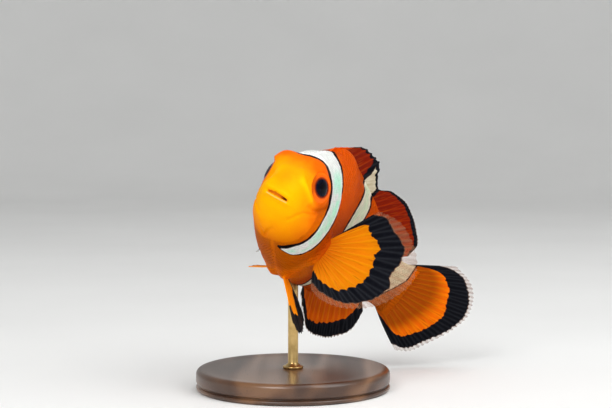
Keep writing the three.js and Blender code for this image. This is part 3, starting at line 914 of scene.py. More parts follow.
# Widths of rays, and how far a branched one opens, where 1 is the distance from ray to ray.
SPINE_WIDTH = 0.15
RAY_WIDTH = 0.115
BRANCH_OPENING = 0.25
FAR_FROM_BARS_MM = -9.0
CLEAR_FROM_MM = -0.3


def middle_fin(fin, phases, reach, notch):
    """The middle surface of a fin in the fish's middle plane, as straight coordinates. Each
    ray runs straight from its root to its tip, and between rays the margin dips by notch."""
    share = mix(fin["share"][0], 1.0, phases / phases[-1])
    tip_along = curve(fin["share"], fin["along"])(share)
    tip_up = curve(fin["share"], fin["up"])(share)
    root_along, root_up = fin["root_at"](fin, share)
    t = reach[None, :] * (1 - notch[:, None])
    along = mix(root_along[:, None], tip_along[:, None], t)
    return share, t, along, mix(root_up[:, None], tip_up[:, None], t)


def back_root(fin, share):
    """Roots of the back fin's rays, a little under the line of the back."""
    along = mix(*fin["root"], share)
    return along, above(along) - FIN_ROOT_DEPTH


def belly_root(fin, share):
    """Roots of the anal fin's rays, a little inside the line of the belly."""
    along = mix(*fin["root"], share)
    return along, FIN_ROOT_DEPTH - below(along)


def tail_root(fin, share):
    """Roots of the tail fin's rays, inside the end of the body. The outermost rays start
    further forward, by the fourth power of the share."""
    middle, outermost = fin["root"]
    along = mix(middle, outermost, share**4)
    edge = np.where(share > 0, above(along), below(along)) - FIN_ROOT_DEPTH
    return along, edge * share


def fan_fin(fin, phases, reach, notch):
    """The middle surface of a paired fin, posed. Each ray leaves the root line at its own
    angle between the fan's middle direction and its first one, and the fan is cupped by
    the square of the reach."""
    side = fin["side"]
    root_along, root_out, root_up = fin["root"]
    _, tail, left, back = spine_at(np.array(root_along))

    def direction(parts):
        return parts[0] * tail + parts[1] * side * left + parts[2] * back

    middle = unit(direction(fin["middle"]))
    first = direction(fin["first"])
    first = unit(first - (first @ middle) * middle)
    normal = np.cross(middle, first) * side
    share = phases / phases[-1]
    angle = np.radians(mix(*fin["spread"], share))[:, None, None]
    length = curve(fin["share"], fin["length"])(share)
    t = reach[None, :] * (1 - notch[:, None])
    out = (length[:, None] * t)[..., None] * STANDARD_LENGTH
    points = place(root_along, side * root_out, root_up) + out * np.cos(angle) * middle
    points = points + out * np.sin(angle) * first
    slide = fin["width"] / 2 * (1 - 2 * share) * STANDARD_LENGTH
    points = points + slide[:, None, None] * first
    points = points + (fin["cup"] * t**2)[..., None] * STANDARD_LENGTH * normal
    return share, t, points


def ray_ridges(fin, phases, reach):
    """How much of each point is ray, 1 on a ray and 0 on the membrane. A ray is a bell about
    each whole phase. A soft ray parts into two that draw away from each other towards the
    margin, and a spine stays whole and is a little wider."""
    from_ray = (phases - np.round(phases))[:, None]
    hard = (np.round(phases) < fin["spines"])[:, None]
    split = np.where(hard, 0, BRANCH_OPENING * smoothstep(reach[None, :], fin["branch_from"], 0.95))
    wide = np.where(hard, SPINE_WIDTH, RAY_WIDTH)
    return np.clip(bell(from_ray - split, wide) + bell(from_ray + split, wide), 0, 1)


def fin_slab(name, points, half_mm, pleat_mm, materials, attributes):
    """A fin as a closed slab about its middle surface: each side is the middle surface moved
    along its normal by half the thickness, pleated by the rays, and four thin strips join
    the sides at the root, margin, and first and last ray."""
    normals = grid_normals(points)
    middle = points + normals * (pleat_mm * MM)[..., None]
    upper = middle + normals * (half_mm * MM)[..., None]
    lower = middle - normals * (half_mm * MM)[..., None]
    rows, columns = points.shape[:2]
    count = rows * columns
    index = np.arange(count).reshape(rows, columns)
    quads = grid_faces(rows, columns)

    def strip(line):
        return np.stack([line[1:], line[:-1], line[:-1] + count, line[1:] + count], -1)

    strips = [index[0, ::-1], index[-1], index[:, 0], index[::-1, -1]]
    sides = np.vstack([strip(line) for line in strips])
    flat = np.vstack([upper.reshape(-1, 3), lower.reshape(-1, 3)])
    upper_uv = grid_places(np.linspace(0.01, 0.485, rows), np.linspace(0.01, 0.985, columns))
    both_uv = np.vstack([upper_uv, upper_uv + np.array([0.505, 0.0])])
    side_uv = [both_uv[quads], both_uv[quads + count][:, ::-1], both_uv[sides % count]]
    faces = [quads, quads[:, ::-1] + count, sides]
    doubled = {key: np.concatenate([values, values]) for key, values in attributes.items()}
    piece = new_piece(name, flat, faces, materials[0], side_uv, doubled)
    piece.data.materials.append(materials[1])
    past_black = doubled["past_black"]
    clear = np.concatenate([past_black[f].min(-1) > CLEAR_FROM_MM for f in faces])
    piece.data.polygons.foreach_set("material_index", clear.astype("i4"))
    return piece


def make_fin(name, fin, materials):
    """One fin from its description. Colours are kept as distances in millimetres past the end
    of the orange and past the end of the black, measured along the rays, with a tooth at
    every ray."""
    rays = fin["rays"]
    phases = np.linspace(0, rays - 1, (rays - 1) * fin["cells"] + 1)
    reach = np.linspace(0, 1, fin["steps"]) ** 0.92
    number = np.round(phases).astype(int)
    ridges = ray_ridges(fin, phases, reach)
    dip = np.where(number < fin["spines"], fin["spine_notch"], fin["notch"])
    notch = dip * (1 - ray_ridges(fin, phases, np.ones(1))[:, 0])
    if "side" in fin:
        share, t, points = fan_fin(fin, phases, reach, notch)
        depth = np.full(t.shape, FAR_FROM_BARS_MM)
        warm = mix(0.58, fin["warm"], smoothstep(t, 0.0, 0.3))
        warm = mix(warm, fin["warm"] - 0.05, smoothstep(t, 0.3, 0.65))
    else:
        share, t, along, up = middle_fin(fin, phases, reach, notch)
        points = place(along, 0, up)
        depth = np.where(along > fin["bars_until"], FAR_FROM_BARS_MM, bar_depth(along, 0.1, up))
        outer = curve(*fin["outer_warm"])(share)[:, None]
        warm = mix(warmth(along, 0, up), outer, smoothstep(t, *fin["warm_over"]))
    thick = mix(FIN_BASE_HALF_MM, FIN_TIP_HALF_MM, reach)
    half = mix(MEMBRANE_HALF_MM, thick, ridges) + ROOT_SWELL_MM * np.exp(-reach / 0.05)
    half = np.minimum(half, mix(*THICKEST_HALF_MM, reach))
    half = half * mix(1, MARGIN_THINNING, smoothstep(reach, 0.95, 1.0))
    pleat = fin["pleat_mm"] * np.cos(np.pi * phases)[:, None] * smoothstep(reach, 0.08, 0.5)
    ray_noise = rng.uniform(-1, 1, rays)
    wave = 4 * np.abs(phases - number) - 1
    ragged = 0.5 - np.abs(wave) + 0.8 * wave + 1.2 * ray_noise[number]
    ragged = fin["tooth_mm"] * ragged[:, None]
    run = reach * np.linalg.norm(points[:, -1:] - points[:, :1], axis=-1) / MM
    orange_end = run[:, -1:] * curve(*fin["orange_end"])(share)[:, None]
    black_end = run[:, -1:] * curve(*fin["black_end"])(share)[:, None]
    attributes = {
        "bar_depth": depth.reshape(-1),
        "warmth": warm.reshape(-1),
        "past_orange": (run - orange_end + ragged).reshape(-1),
        "past_black": (run - black_end + 0.4 * ragged).reshape(-1),
        # Painted shade: the orange is darkened by a factor that changes from root to margin.
        "painted_shade_and_deeper_orange": mix(*fin["painted_shade_and_deeper_orange"], smoothstep(t, 0.42, 0.68)).reshape(-1),
        "ray": np.stack([phases[:, None] + 0 * run, run, ridges], -1).reshape(-1, 3),
    }
    return fin_slab(name, points, half, pleat, materials, attributes)


# Each fin has a number of rays, of which the first few may be spines, cells from ray to ray,
# and steps from root to margin. Between rays the margin dips by a notch. Pleats and teeth
# are in millimetres. A curve has two rows: shares of the fin from its first ray to its last,
# and the values there. Where a colour ends is a share of the ray's length.
# Each fin's pair of shade factors, near its root and towards its margin, darkens its orange as painted
# shade.
PLAIN_FIN = {"spines": 0, "spine_notch": 0, "branch_from": 0.4, "painted_shade_and_deeper_orange": (1, 1), "pleat_mm": 0.03}
DORSAL = {
    **PLAIN_FIN,
    "root_at": back_root,
    "root": (0.31, 0.88),
    "share": (0, 0.08, 0.2, 0.32, 0.4, 0.44, 0.52, 0.6, 0.7, 0.8, 0.9, 1),
    "along": (0.335, 0.395, 0.485, 0.562, 0.605, 0.632, 0.69, 0.755, 0.83, 0.895, 0.94, 0.935),
    "up": (0.252, 0.279, 0.319, 0.314, 0.26, 0.24, 0.264, 0.267, 0.246, 0.21, 0.165, 0.12),
    "rays": 26,
    "spines": 10,
    "cells": 14,
    "steps": 34,
    "spine_notch": 0.045,
    "notch": 0.012,
    "tooth_mm": 0.12,
    "bars_until": 0.75,
    "outer_warm": ((0, 0.07, 0.15, 1), (0.8, 0.82, 1.0, 0.98)),
    "warm_over": (0.05, 0.3),
    "orange_end": ((0, 0.08, 0.14, 0.4, 0.6, 1), (1.06, 1.02, 0.9, 0.88, 0.89, 0.86)),
    "black_end": ((0, 0.5, 1), (1.02, 1.0, 0.98)),
}
ANAL = {
    **PLAIN_FIN,
    "root_at": belly_root,
    "root": (0.6, 0.87),
    "share": (0, 0.12, 0.3, 0.5, 0.7, 0.85, 1),
    "along": (0.63, 0.71, 0.79, 0.85, 0.9, 0.935, 0.925),
    "up": (-0.215, -0.265, -0.305, -0.295, -0.262, -0.205, -0.135),
    "rays": 14,
    "spines": 2,
    "cells": 16,
    "steps": 34,
    "spine_notch": 0.06,
    "notch": 0.02,
    "tooth_mm": 0.2,
    "bars_until": 0.7,
    "outer_warm": ((0, 1), (0.69, 0.69)),
    "warm_over": (0.0, 0.35),
    "painted_shade_and_deeper_orange": (0.62, 0.82),
    "orange_end": (
        (0, 0.1, 0.27, 0.58, 0.72, 0.81, 0.89, 1),
        (0.3, 0.6, 0.77, 0.7, 0.67, 0.62, 0.56, 0.4),
    ),
    "black_end": ((0, 0.11, 0.3, 1), (0.85, 0.88, 0.98, 0.98)),
}
CAUDAL = {
    **PLAIN_FIN,
    "root_at": tail_root,
    "root": (0.985, 0.93),
    "share": (-1, -0.8, -0.5, -0.2, 0.1, 0.4, 0.7, 1),
    "along": (1.125, 1.168, 1.212, 1.26, 1.284, 1.267, 1.213, 1.135),
    "up": (-0.192, -0.17, -0.108, -0.028, 0.05, 0.116, 0.168, 0.188),
    "rays": 16,
    "cells": 18,
    "steps": 46,
    "notch": 0.015,
    "branch_from": 0.25,
    "tooth_mm": 0.12,
    "bars_until": 1.3,
    "outer_warm": ((-1, 1), (0.64, 0.64)),
    "warm_over": (0.0, 0.35),
    "painted_shade_and_deeper_orange": (0.42, 1.0),
        "orange_end": (
            (-1, -0.93, -0.85, -0.75, -0.36, -0.08, 0.17, 0.62, 0.81, 0.92, 1),
            (0.24, 0.41, 0.64, 0.71, 0.77, 0.75, 0.69, 0.65, 0.62, 0.5, 0.2),
        ),
        "black_end": (
            (-1, -0.85, -0.46, -0.17, 0.24, 0.53, 0.74, 0.94, 1),
            (0.87, 0.93, 0.95, 0.97, 0.96, 0.93, 0.93, 0.86, 0.7),
        ),
}
PECTORAL = {
    **PLAIN_FIN,
    "root": (0.345, 0.108, -0.09),
    "first": (0.1, 0.15, 1),
    "share": (0, 0.15, 0.35, 0.5, 0.65, 0.8, 1),
    "length": (0.195, 0.272, 0.318, 0.274, 0.212, 0.155, 0.085),
    "width": 0.085,
    "cup": 0.03,
    "rays": 17,
    "cells": 18,
    "steps": 46,
    "notch": 0.012,
    "branch_from": 0.3,
    "pleat_mm": 0.035,
    "tooth_mm": 0.28,
    "warm": 0.48,
    "painted_shade_and_deeper_orange": (0.7, 0.62),
        "orange_end": (
            (0, 0.02, 0.045, 0.14, 0.22, 0.3, 0.4, 0.48, 0.6, 0.7, 0.79, 0.91, 1),
            (0.1, 0.38, 0.64, 0.58, 0.61, 0.56, 0.57, 0.61, 0.63, 0.65, 0.57, 0.38, 0.2),
        ),
        "black_end": (
            (0, 0.05, 0.14, 0.23, 0.31, 0.38, 0.46, 0.68, 0.81, 0.94, 1),
            (0.9, 0.93, 0.86, 0.88, 0.83, 0.77, 0.87, 0.9, 0.82, 0.74, 0.7),
        ),
}
PELVIC = {
    **PLAIN_FIN,
    "spread": (24, -22),
    "share": (0, 0.3, 0.7, 1),
    "length": (0.17, 0.205, 0.18, 0.11),
    "width": 0.028,
    "cup": 0,
    "rays": 6,
    "spines": 1,
    "cells": 18,
    "steps": 40,
    "spine_notch": 0.04,
    "notch": 0.03,
    "pleat_mm": 0.08,
    "tooth_mm": 0.25,
    "warm": 0.5,
    "black_end": ((0, 1), (1.2, 1.2)),
}
FINS = {
    "dorsal_fin": DORSAL,
    "anal_fin": ANAL,
    "caudal_fin": CAUDAL,
    "pectoral_fin_left": {**PECTORAL, "side": 1, "middle": (0.5, 0.85, -0.08), "spread": (61, -70)},
    "pectoral_fin_right": {**PECTORAL, "side": -1, "middle": (0.96, 0.16, 0.2), "spread": (42, -32)},
    "pelvic_fin_left": {
        **PELVIC,
        "side": 1,
        "root": (0.355, 0.022, -0.2),
        "middle": (0.4, 0.62, -0.72),
        "first": (-0.85, 0.25, -0.39),
        "orange_end": ((0, 0.15, 0.44, 0.6, 0.83, 0.94, 1), (0.61, 0.64, 0.7, 0.49, 0.28, 0.12, 0.05)),
    },
    "pelvic_fin_right": {
        **PELVIC,
        "side": -1,
        "root": (0.365, 0.022, -0.19),
        "middle": (0.88, 0.46, 0.09),
        "first": (-0.6, 0.62, -0.48),
        "orange_end": ((0, 0.25, 0.5, 0.8, 1), (0.97, 0.9, 0.6, 0.28, 0.05)),
    },
}


# ---- materials ----


class Finish:
    """A node material built by short calls. Each call adds a node and returns its output, and
    any argument may be a number, a colour or another output."""

    def __init__(self, name):
        self.material = bpy.data.materials.new(name)
        self.material.use_nodes = True
        self.tree = self.material.node_tree
        self.tree.nodes.clear()
        self.surface = self.tree.nodes.new("ShaderNodeBsdfPrincipled")
        end = self.tree.nodes.new("ShaderNodeOutputMaterial")
        self.tree.links.new(self.surface.outputs["BSDF"], end.inputs["Surface"])

    def put(self, socket, value):
        """A link from an output, or the socket's own value. A colour gets its alpha of 1."""
        if isinstance(value, bpy.types.NodeSocket):
            self.tree.links.new(value, socket)
        else:
            socket.default_value = (*value, 1) if socket.type == "RGBA" else value

    def add(self, kind, inputs, output=0, **settings):
        """A node with some settings and inputs, of which one output is wanted."""
        node = self.tree.nodes.new("ShaderNode" + kind)
        for key, value in settings.items():
            setattr(node, key, value)
        for key, value in inputs.items():
            self.put(node.inputs[key], value)
        return node.outputs[output]

    def shine(self, **values):
        for key, value in values.items():
            self.put(self.surface.inputs[key.replace("_", " ").title().replace("Ior", "IOR")], value)

    def attribute(self, name, output="Fac"):
        return self.add("Attribute", {}, output, attribute_name=name)

    def place(self):
        return self.add("TexCoord", {}, "Object")

    def parts(self, vector):
        return list(self.add("SeparateXYZ", {0: vector}).node.outputs)

    def join(self, x, y, z):
        return self.add("CombineXYZ", {0: x, 1: y, 2: z})

    def stretch(self, vector, scale, location=(0, 0, 0)):
        return self.add("Mapping", {"Vector": vector, "Scale": scale, "Location": location})

    def math(self, operation, a, b=0.0, c=0.0):
        return self.add("Math", {0: a, 1: b, 2: c}, operation=operation)

    def plus(self, a, b):
        return self.math("ADD", a, b)

    def times(self, a, b):
        return self.math("MULTIPLY", a, b)

    def rest(self, share):
        """What a share leaves of 1."""
        return self.math("SUBTRACT", 1.0, share)

    def scaled(self, value, by, plus):
        return self.math("MULTIPLY_ADD", value, by, plus)

    def about_zero(self, value, width):
        """A value from 0 to 1 as one from minus to plus half a width."""
        return self.scaled(value, width, -width / 2)

    def step(self, value, low, high, start=0.0, end=1.0):
        """From start to end along a smooth step between low and high."""
        inputs = {0: value, 1: low, 2: high, 3: start, 4: end}
        return self.add("MapRange", inputs, interpolation_type="SMOOTHSTEP")

    def noise(self, vector, scale, detail=3.0, roughness=0.5):
        inputs = {"Vector": vector, "Scale": scale, "Detail": detail, "Roughness": roughness}
        return self.add("TexNoise", inputs)

    def cells(self, vector, scale):
        return self.add("TexVoronoi", {"Vector": vector, "Scale": scale}, "Distance")

    def ramp(self, value, stops):
        node = self.tree.nodes.new("ShaderNodeValToRGB")
        self.put(node.inputs[0], value)
        band = node.color_ramp
        while len(band.elements) < len(stops):
            band.elements.new(0.5)
        for element, (position, colour) in zip(band.elements, stops):
            element.position = position
            element.color = (*colour, 1)
        return node.outputs[0]

    def blend(self, share, a, b, kind="MIX"):
        return self.add("Mix", {0: share, 6: a, 7: b}, 2, data_type="RGBA", blend_type=kind)

    def shaded(self, colour, share):
        """A colour multiplied by one number."""
        return self.blend(1.0, colour, self.join(share, share, share), "MULTIPLY")

    def bump(self, height, distance, strength):
        return self.add("Bump", {"Height": height, "Distance": distance, "Strength": strength})


ORANGES = [
    (0.0, (1.0, 0.50, 0.0005)),
    (0.12, (1.0, 0.44, 0.0005)),
    (0.3, (1.0, 0.34, 0.0005)),
    (0.5, (0.98, 0.26, 0.001)),
    (0.7, (0.90, 0.140, 0.001)),
    (0.84, (0.72, 0.075, 0.001)),
    # The darkest stop, for the back fin, is partly the fin's own deep red and partly painted shade.
    (1.0, (0.20, 0.010, 0.001)),
]
BAR_WHITE = (0.93, 0.95, 0.92)
BAR_MINT = (0.54, 1.0, 0.76)
# Painted shade: the tan to which the white of the later bars is darkened.
BAR_PAINTED_SHADE = (0.74, 0.58, 0.36)
INK = (0.003, 0.0035, 0.006)
LINE_WIDTH_MM = 0.42
FLECK_RED = (0.55, 0.10, 0.001)
# Painted highlight on the lower lip's edge.
LIP_HIGHLIGHT = (0.86, 0.42, 0.16)
MOUTH_ORANGE = (0.78, 0.22, 0.008)
# Painted shade in the deepest part of the mouth's slit.
MOUTH_CORNER_SHADE = (0.16, 0.022, 0.003)
CRACK_RED = (0.42, 0.075, 0.001)
# The white of the bars on a fin, darkened to tan: partly the thin fin's see-through white, partly
# painted shade.
FIN_BAR_SHADED = ((0.66, 0.60, 0.46), (0.50, 0.42, 0.27))
# Painted highlight: the rays in a fin's black are a little lighter than the membrane.
RAY_BLACK_HIGHLIGHT = (0.012, 0.013, 0.017)
SMOKE = ((0.47, 0.23, 0.13), (0.28, 0.115, 0.055))
# Height above the floor at which the green of the bars fades out, towards the nape.
GREEN_TOP = (0.049, 0.0455)


def bar_and_line(f, depth, soft, line_soft):
    """Shares of a bar's white and of the dark line round it, from the depth inside the bar.
    Both have a soft edge, given as where it starts and ends in millimetres."""
    white = f.step(depth, *soft)
    line = f.step(depth, line_soft[0] - LINE_WIDTH_MM, line_soft[1] - LINE_WIDTH_MM)
    return white, f.times(line, f.rest(white))


def flesh_colour(f, place):
    """Orange by warmth and darkened by painted shade, white inside the bars with green in
    patches and going to tan as painted shade on the later bars, and a dark line round each
    bar."""
    wander = f.about_zero(f.noise(place, 900.0, 2.0), 0.24)
    fine = f.about_zero(f.noise(place, 5200.0, 1.0), 0.14)
    depth = f.plus(f.plus(f.attribute("bar_depth"), wander), fine)
    white, line = bar_and_line(f, depth, (-0.04, 0.05), (-0.07, 0.05))
    mottle = f.about_zero(f.noise(place, 420.0, 4.0, 0.6), 0.16)
    orange = f.ramp(f.plus(f.attribute("warmth"), mottle), ORANGES)
    fleck = f.step(f.noise(place, 3400.0, 2.0), 0.62, 0.75)
    orange = f.blend(f.times(fleck, 0.15), orange, FLECK_RED)
    # The orange darkened by painted shade, and by the deeper orange of the breast and flanks.
    orange = f.shaded(orange, f.attribute("painted_shade_and_deeper_orange"))
    cool = f.times(f.step(f.noise(place, 320.0, 3.0), 0.3, 0.62), f.step(depth, 0.15, 0.9))
    cool = f.times(cool, f.step(f.parts(place)[2], *GREEN_TOP))
    pale = f.blend(f.times(cool, 0.9), BAR_WHITE, BAR_MINT)
    # Painted shade on the later bars: their white goes towards tan.
    pale = f.blend(f.attribute("tan"), pale, BAR_PAINTED_SHADE)
    return f.blend(line, f.blend(white, orange, pale), INK)


def skin_finish():
    """Smooth skin with hardly any shine: the flesh's colours, those of the mouth with a painted
    highlight on the lower lip and painted shade deep in the slit, and fine pores and wrinkles
    in the bump."""
    f = Finish("skin_orange_white")
    place = f.place()
    mouth = f.attribute("mouth")
    # Painted highlight along the lower lip's edge.
    colour = f.blend(f.step(mouth, 0.25, 0.9, 0.0, 0.75), flesh_colour(f, place), LIP_HIGHLIGHT)
    inside = f.times(mouth, -1.0)
    colour = f.blend(f.step(inside, 0.1, 0.8), colour, MOUTH_ORANGE)
    # Painted shade deep in the slit, darkest at its left corner.
    colour = f.blend(f.step(inside, 1.0, 1.9), colour, MOUTH_CORNER_SHADE)
    height = f.plus(f.times(f.cells(place, 3000.0), 0.5), f.noise(place, 1500.0, 4.0, 0.6))
    rough = f.scaled(f.noise(place, 700.0, 3.0), 0.2, 0.4)
    f.shine(base_color=colour, roughness=rough, normal=f.bump(height, 0.00006, 0.5))
    f.shine(specular_ior_level=0.02)
    return f.material


def scale_finish():
    """Scales in the skin's colours, each a little different, with a darker root and faint
    growth rings in the bump."""
    f = Finish("scale_orange_white")
    place = f.place()
    x, y, tint = f.parts(f.attribute("scale", "Vector"))
    shade = f.scaled(f.step(x, -0.2, 0.75), 0.2, 0.8)
    colour = f.shaded(flesh_colour(f, place), f.plus(shade, f.about_zero(tint, 0.12)))
    from_middle = f.plus(f.times(x, x), f.times(y, y))
    rings = f.math("SINE", f.times(from_middle, 26.0))
    height = f.scaled(rings, 0.25, f.noise(place, 2600.0, 3.0))
    rough = f.scaled(f.noise(place, 800.0, 3.0), 0.2, 0.4)
    f.shine(base_color=colour, roughness=rough, normal=f.bump(height, 0.00003, 0.5))
    f.shine(specular_ior_level=0.02)
    return f.material


def fin_finish(name, see_through):
    """Fin membrane between rays: streaked orange darkened by painted shade, then black with a
    painted highlight along its rays, then a smoky margin; the bars on a fin are a tan that is
    partly painted shade. The see-through kind lets light pass beyond the black, least of all
    in its rays."""
    f = Finish(name)
    place = f.place()
    phase, run, ridge = f.parts(f.attribute("ray", "Vector"))
    streak = f.noise(f.join(f.times(phase, 3.1), f.times(run, 0.22), 0.0), 1.0, 4.0, 0.65)
    fine = f.noise(f.join(f.times(phase, 4.6), f.times(run, 0.2), 4.0), 1.0, 2.0, 0.5)
    own = f.attribute("warmth")
    change = f.plus(f.about_zero(streak, 0.24), f.about_zero(ridge, -0.1))
    orange = f.ramp(f.scaled(change, f.step(own, 0.7, 0.95, 1.0, 0.35), own), ORANGES)
    orange = f.blend(f.times(f.step(fine, 0.57, 0.7), 0.5), orange, CRACK_RED)
    # The fin's orange darkened by painted shade.
    orange = f.shaded(orange, f.attribute("painted_shade_and_deeper_orange"))
    wander = f.about_zero(f.noise(place, 1500.0, 3.0), 0.5)
    depth = f.plus(f.attribute("bar_depth"), f.times(wander, 0.5))
    white, line = bar_and_line(f, depth, (-0.05, 0.06), (-0.08, 0.04))
    # The bar on a fin in a tan that is partly painted shade.
    orange = f.blend(white, orange, f.blend(f.step(streak, 0.3, 0.7), *FIN_BAR_SHADED))
    past = f.plus(f.attribute("past_orange"), wander)
    black = f.math("MAXIMUM", f.step(past, -0.08, 0.1), line)
    # The rays in the black get a painted highlight.
    colour = f.blend(black, orange, f.blend(ridge, INK, RAY_BLACK_HIGHLIGHT))
    clear = f.step(f.plus(f.attribute("past_black"), wander), -0.15, 0.25)
    colour = f.blend(clear, colour, f.blend(f.step(streak, 0.35, 0.65), *SMOKE))
    if see_through:
        solid = f.scaled(f.step(streak, 0.4, 0.6), 0.1, f.scaled(ridge, 0.13, 0.07))
        f.shine(alpha=f.rest(f.times(clear, f.rest(solid))))
    grain = f.scaled(fine, 0.6, f.noise(place, 2600.0, 2.0))
    rough = f.scaled(streak, 0.25, 0.3)
    f.shine(base_color=colour, roughness=rough, normal=f.bump(grain, 0.00005, 0.6))
    f.shine(specular_ior_level=0.03)
    return f.material


# From the pupil's rim outwards.
IRIS = [
    (0.0, (0.08, 0.008, 0.002)),
    (0.12, (0.30, 0.030, 0.002)),
    (0.3, (0.80, 0.10, 0.002)),
    (0.55, (0.92, 0.135, 0.002)),
    (1.0, (0.92, 0.16, 0.002)),
]
IRIS_FLECK = (0.50, 0.06, 0.002)
PUPIL = ((0.001, 0.001, 0.003), (0.003, 0.004, 0.012))
PUPIL_RIM_MM = 1.92


def eye_finish():
    """A smooth eye: black pupil, a thin dark rim, and a red-orange iris streaked outwards and
    darker in front."""
    f = Finish("eye_glass")
    wide, x, y = f.parts(f.attribute("eye", "Vector"))
    far = f.math("SQRT", f.scaled(x, x, f.times(y, y)))
    direction = f.join(f.math("DIVIDE", x, far), f.math("DIVIDE", y, far), 0.0)
    spoke = f.noise(direction, 9.0, 4.0, 0.65)
    iris = f.ramp(f.step(f.plus(wide, f.about_zero(spoke, 0.16)), 1.95, 3.5), IRIS)
    iris = f.shaded(iris, f.step(x, -2.7, -1.7, 0.62, 1.0))
    iris = f.blend(f.times(f.step(spoke, 0.5, 0.75), 0.35), iris, IRIS_FLECK)
    past_pupil = f.step(wide, PUPIL_RIM_MM, PUPIL_RIM_MM + 0.1)
    deep = f.blend(f.step(wide, 0.6, 1.9), *PUPIL)
    rough = f.scaled(spoke, 0.08, 0.16)
    f.shine(base_color=f.blend(past_pupil, deep, iris), roughness=rough)
    f.shine(coat_weight=0.03, coat_roughness=0.05, specular_ior_level=0.05)
    f.shine(normal=f.bump(f.times(spoke, past_pupil), 0.00003, 0.4))
    return f.material


WALNUT = [(0.0, (0.055, 0.022, 0.010)), (0.55, (0.12, 0.052, 0.022)), (1.0, (0.19, 0.09, 0.04))]
WALNUT_PORE = (0.02, 0.008, 0.004)
BRASS = [(0.3, (0.42, 0.26, 0.09)), (0.55, (0.66, 0.45, 0.18)), (0.8, (0.74, 0.54, 0.25))]
PAPER = [(0.3, (0.84, 0.84, 0.83)), (0.7, (0.87, 0.87, 0.86))]


def wood_finish():
    """Walnut turned on end: dark and light bands of one plank, pores along the grain, and a
    satin varnish."""
    f = Finish("walnut_satin")
    place = f.place()
    board = f.stretch(place, (70.0, 9.0, 70.0), (0.31, 0.0, 0.12))
    bands = f.times(f.noise(board, 1.0, 2.0, 0.4), 14.0)
    fibre = f.noise(f.stretch(place, (2600.0, 60.0, 2600.0)), 1.0, 3.0, 0.6)
    ring = f.scaled(f.math("SINE", f.times(f.scaled(fibre, 0.25, bands), 2.2)), 0.5, 0.5)
    pore = f.step(f.noise(f.stretch(place, (3800.0, 240.0, 3800.0)), 1.0, 2.0), 0.62, 0.72)
    colour = f.blend(f.times(pore, 0.6), f.ramp(ring, WALNUT), WALNUT_PORE)
    height = f.math("SUBTRACT", f.times(ring, 0.2), pore)
    rough = f.scaled(ring, -0.1, 0.42)
    f.shine(base_color=colour, roughness=rough, normal=f.bump(height, 0.00004, 0.5))
    f.shine(coat_weight=0.4, coat_roughness=0.22)
    return f.material


def brass_finish():
    """Brushed brass: fine turned rings round the rod and slight tarnish."""
    f = Finish("brass_brushed")
    place = f.place()
    rings = f.noise(f.stretch(place, (120.0, 120.0, 9000.0)), 1.0, 3.0, 0.6)
    tarnish = f.noise(place, 320.0, 4.0, 0.6)
    f.shine(base_color=f.ramp(tarnish, BRASS), roughness=f.scaled(tarnish, 0.2, 0.2))
    f.shine(normal=f.bump(rings, 0.00002, 0.4), metallic=1.0)
    return f.material


def studio_finish():
    """A pale matt floor with a very faint mottle."""
    f = Finish("studio_paper")
    f.shine(base_color=f.ramp(f.noise(f.place(), 14.0, 3.0), PAPER), roughness=0.9)
    return f.material


# ---- the stand ----

ROD_TOP_MM = 23.6


def turned_piece(name, profile_mm, material, sides):
    """A profile of radii and heights in millimetres, carried round the upright axis. The
    profile starts and ends on the axis, where it closes in a point."""
    profile = np.array(profile_mm) * MM
    rings = carried_round(profile[1:-1, 0], profile[1:-1, 1], sides)
    ends = [[0, 0, profile[0, 1]], [0, 0, profile[-1, 1]]]
    flat = np.vstack([rings.reshape(-1, 3), ends])
    return new_piece(name, flat, ring_faces(len(rings), sides), material)


def arc(centre, radius, start, end, count):
    """Points of a circle's arc in a profile, angles in degrees from straight out."""
    angle = np.radians(np.linspace(start, end, count))
    points = np.stack([centre[0] + radius * np.cos(angle), centre[1] + radius * np.sin(angle)], -1)
    return points.tolist()


def base_profile():
    """The base from its underside outwards: a flat foot with a small bevel, a bead, a cove,
    a rounded rim, a dished top, and the edge of the rod's hole."""
    profile = [[0, 0], [2.0, 0], [20.3, 0], [20.7, 0.06]]
    profile += arc((20.55, 0.6), 0.45, -60, 60, 9)
    profile += [[20.35, 1.08], [20.3, 1.25]]
    profile += arc((20.2, 2.05), 0.8, -75, 0, 9)
    profile += arc((19.9, 3.4), 1.1, 0, 78, 11)
    profile += [[19.0, 4.42], [18.0, 4.3], [16.5, 4.24], [9.0, 4.24], [3.4, 4.3], [2.4, 4.42]]
    profile += [[1.5, 4.46], [1.28, 4.4], [1.26, 4.2], [1.26, 1.6], [0, 1.6]]
    return profile


def rod_profile():
    """The rod from its foot: a plain stem with a ferrule where it enters the base and a small
    cup under the belly."""
    profile = [[0, 1.65], [1.05, 1.65], [1.1, 1.75], [1.1, 4.4], [1.1, 4.46]]
    profile += [[2.1, 4.47], [2.2, 4.55]]
    profile += arc((2.0, 4.8), 0.22, -20, 90, 6)
    profile += [[1.6, 5.1], [1.45, 5.35], [1.2, 5.5], [1.1, 5.7], [1.1, 12.0], [1.1, ROD_TOP_MM - 2.4]]
    profile += [[1.1, ROD_TOP_MM - 0.1], [1.0, ROD_TOP_MM], [0, ROD_TOP_MM]]
    return profile


# ---- making it ----

camera_data = bpy.data.cameras.new("camera")
camera = bpy.data.objects.new("camera", camera_data)
bpy.context.scene.collection.objects.link(camera)
camera.location = (0.0028, -0.35627, 0.06498)
camera.rotation_euler = (np.radians(86.0), 0.0, 0.0)
camera_data.sensor_width = 36.0
camera_data.lens = 97.64
camera_data.clip_start = 0.01
camera_data.clip_end = 20.0
bpy.context.scene.camera = camera

grid = make_skin_grid()
skin = make_skin(grid, skin_finish())
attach(skin, "root")
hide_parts("head", "lower_jaw", "gill_cover_left", "gill_cover_right", "trunk", "tail")

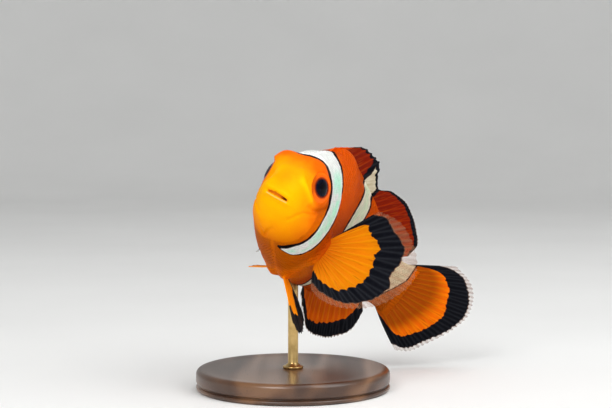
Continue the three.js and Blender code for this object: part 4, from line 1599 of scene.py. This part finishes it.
SIDES = ((1, "left"), (-1, "right"))
scales = scale_finish()
for side, label in SIDES:
    coat = make_scales("scales_" + label, side, grid, scales)
    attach(coat, "root")

eye_glass = eye_finish()
for side, label in SIDES:
    eye = make_eye("eyeball_" + label, side, eye_glass)
    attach(eye, "root")
    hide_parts("eye_" + label)

membrane = (fin_finish("fin_membrane", False), fin_finish("fin_margin", True))
for node, spec in FINS.items():
    fin = make_fin(node.replace("_fin", "_rays"), spec, membrane)
    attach(fin, "root")
    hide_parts(node)

base = turned_piece("turned_base", base_profile(), wood_finish(), 144)
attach(base, "root")
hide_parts("stand_base")
rod = turned_piece("turned_rod", rod_profile(), brass_finish(), 48)
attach(rod, "root")
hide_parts("stand_rod")

# ---- floor and light ----


def studio_sweep():
    """A round floor that curves up into a low wall on all sides: a profile of a flat disc and
    a quarter circle carried round the upright axis."""
    radius = 1.0
    bend = 0.4
    sides = 96
    angle = np.linspace(0, np.pi / 2, 24)[1:]
    disc = np.linspace(0.02, radius - bend, 12)
    out = np.concatenate([disc, radius - bend + bend * np.sin(angle), [radius]])
    up = np.concatenate([0 * disc, bend - bend * np.cos(angle), [1.3]])
    rings = carried_round(out, up, sides)
    quads, middle, _ = ring_faces(len(rings), sides)
    faces = quads[:, ::-1].tolist() + middle[:, ::-1].tolist()
    flat = np.vstack([rings.reshape(-1, 3), [0, 0, 0]])
    return mesh_object("studio_sweep", flat, faces, studio_finish())


studio_sweep()

FISH_MIDDLE = (0.0, -0.005, 0.035)


def softbox(name, location, size, power):
    """A square area light at a place, turned towards the fish."""
    data = bpy.data.lights.new(name, "AREA")
    data.size = size
    data.energy = power
    lamp = bpy.data.objects.new(name, data)
    away = Vector(location) - Vector(FISH_MIDDLE)
    turn = away.to_track_quat("Z", "Y").to_matrix().to_4x4()
    lamp.matrix_world = Matrix.Translation(location) @ turn
    bpy.context.scene.collection.objects.link(lamp)


softbox("key_light", (-0.22, -0.5, 0.42), 0.28, 2.1)
softbox("fill_light", (0.36, -0.26, 0.42), 0.4, 2.0)
softbox("top_light", (0.12, -0.06, 0.75), 0.5, 1.7)

world = bpy.data.worlds.new("studio")
world.use_nodes = True
sky = world.node_tree.nodes["Background"].inputs
sky["Color"].default_value = (0.95, 0.97, 1.0, 1.0)
sky["Strength"].default_value = 0.2
bpy.context.scene.world = world
bpy.context.scene.view_settings.view_transform = "Standard"
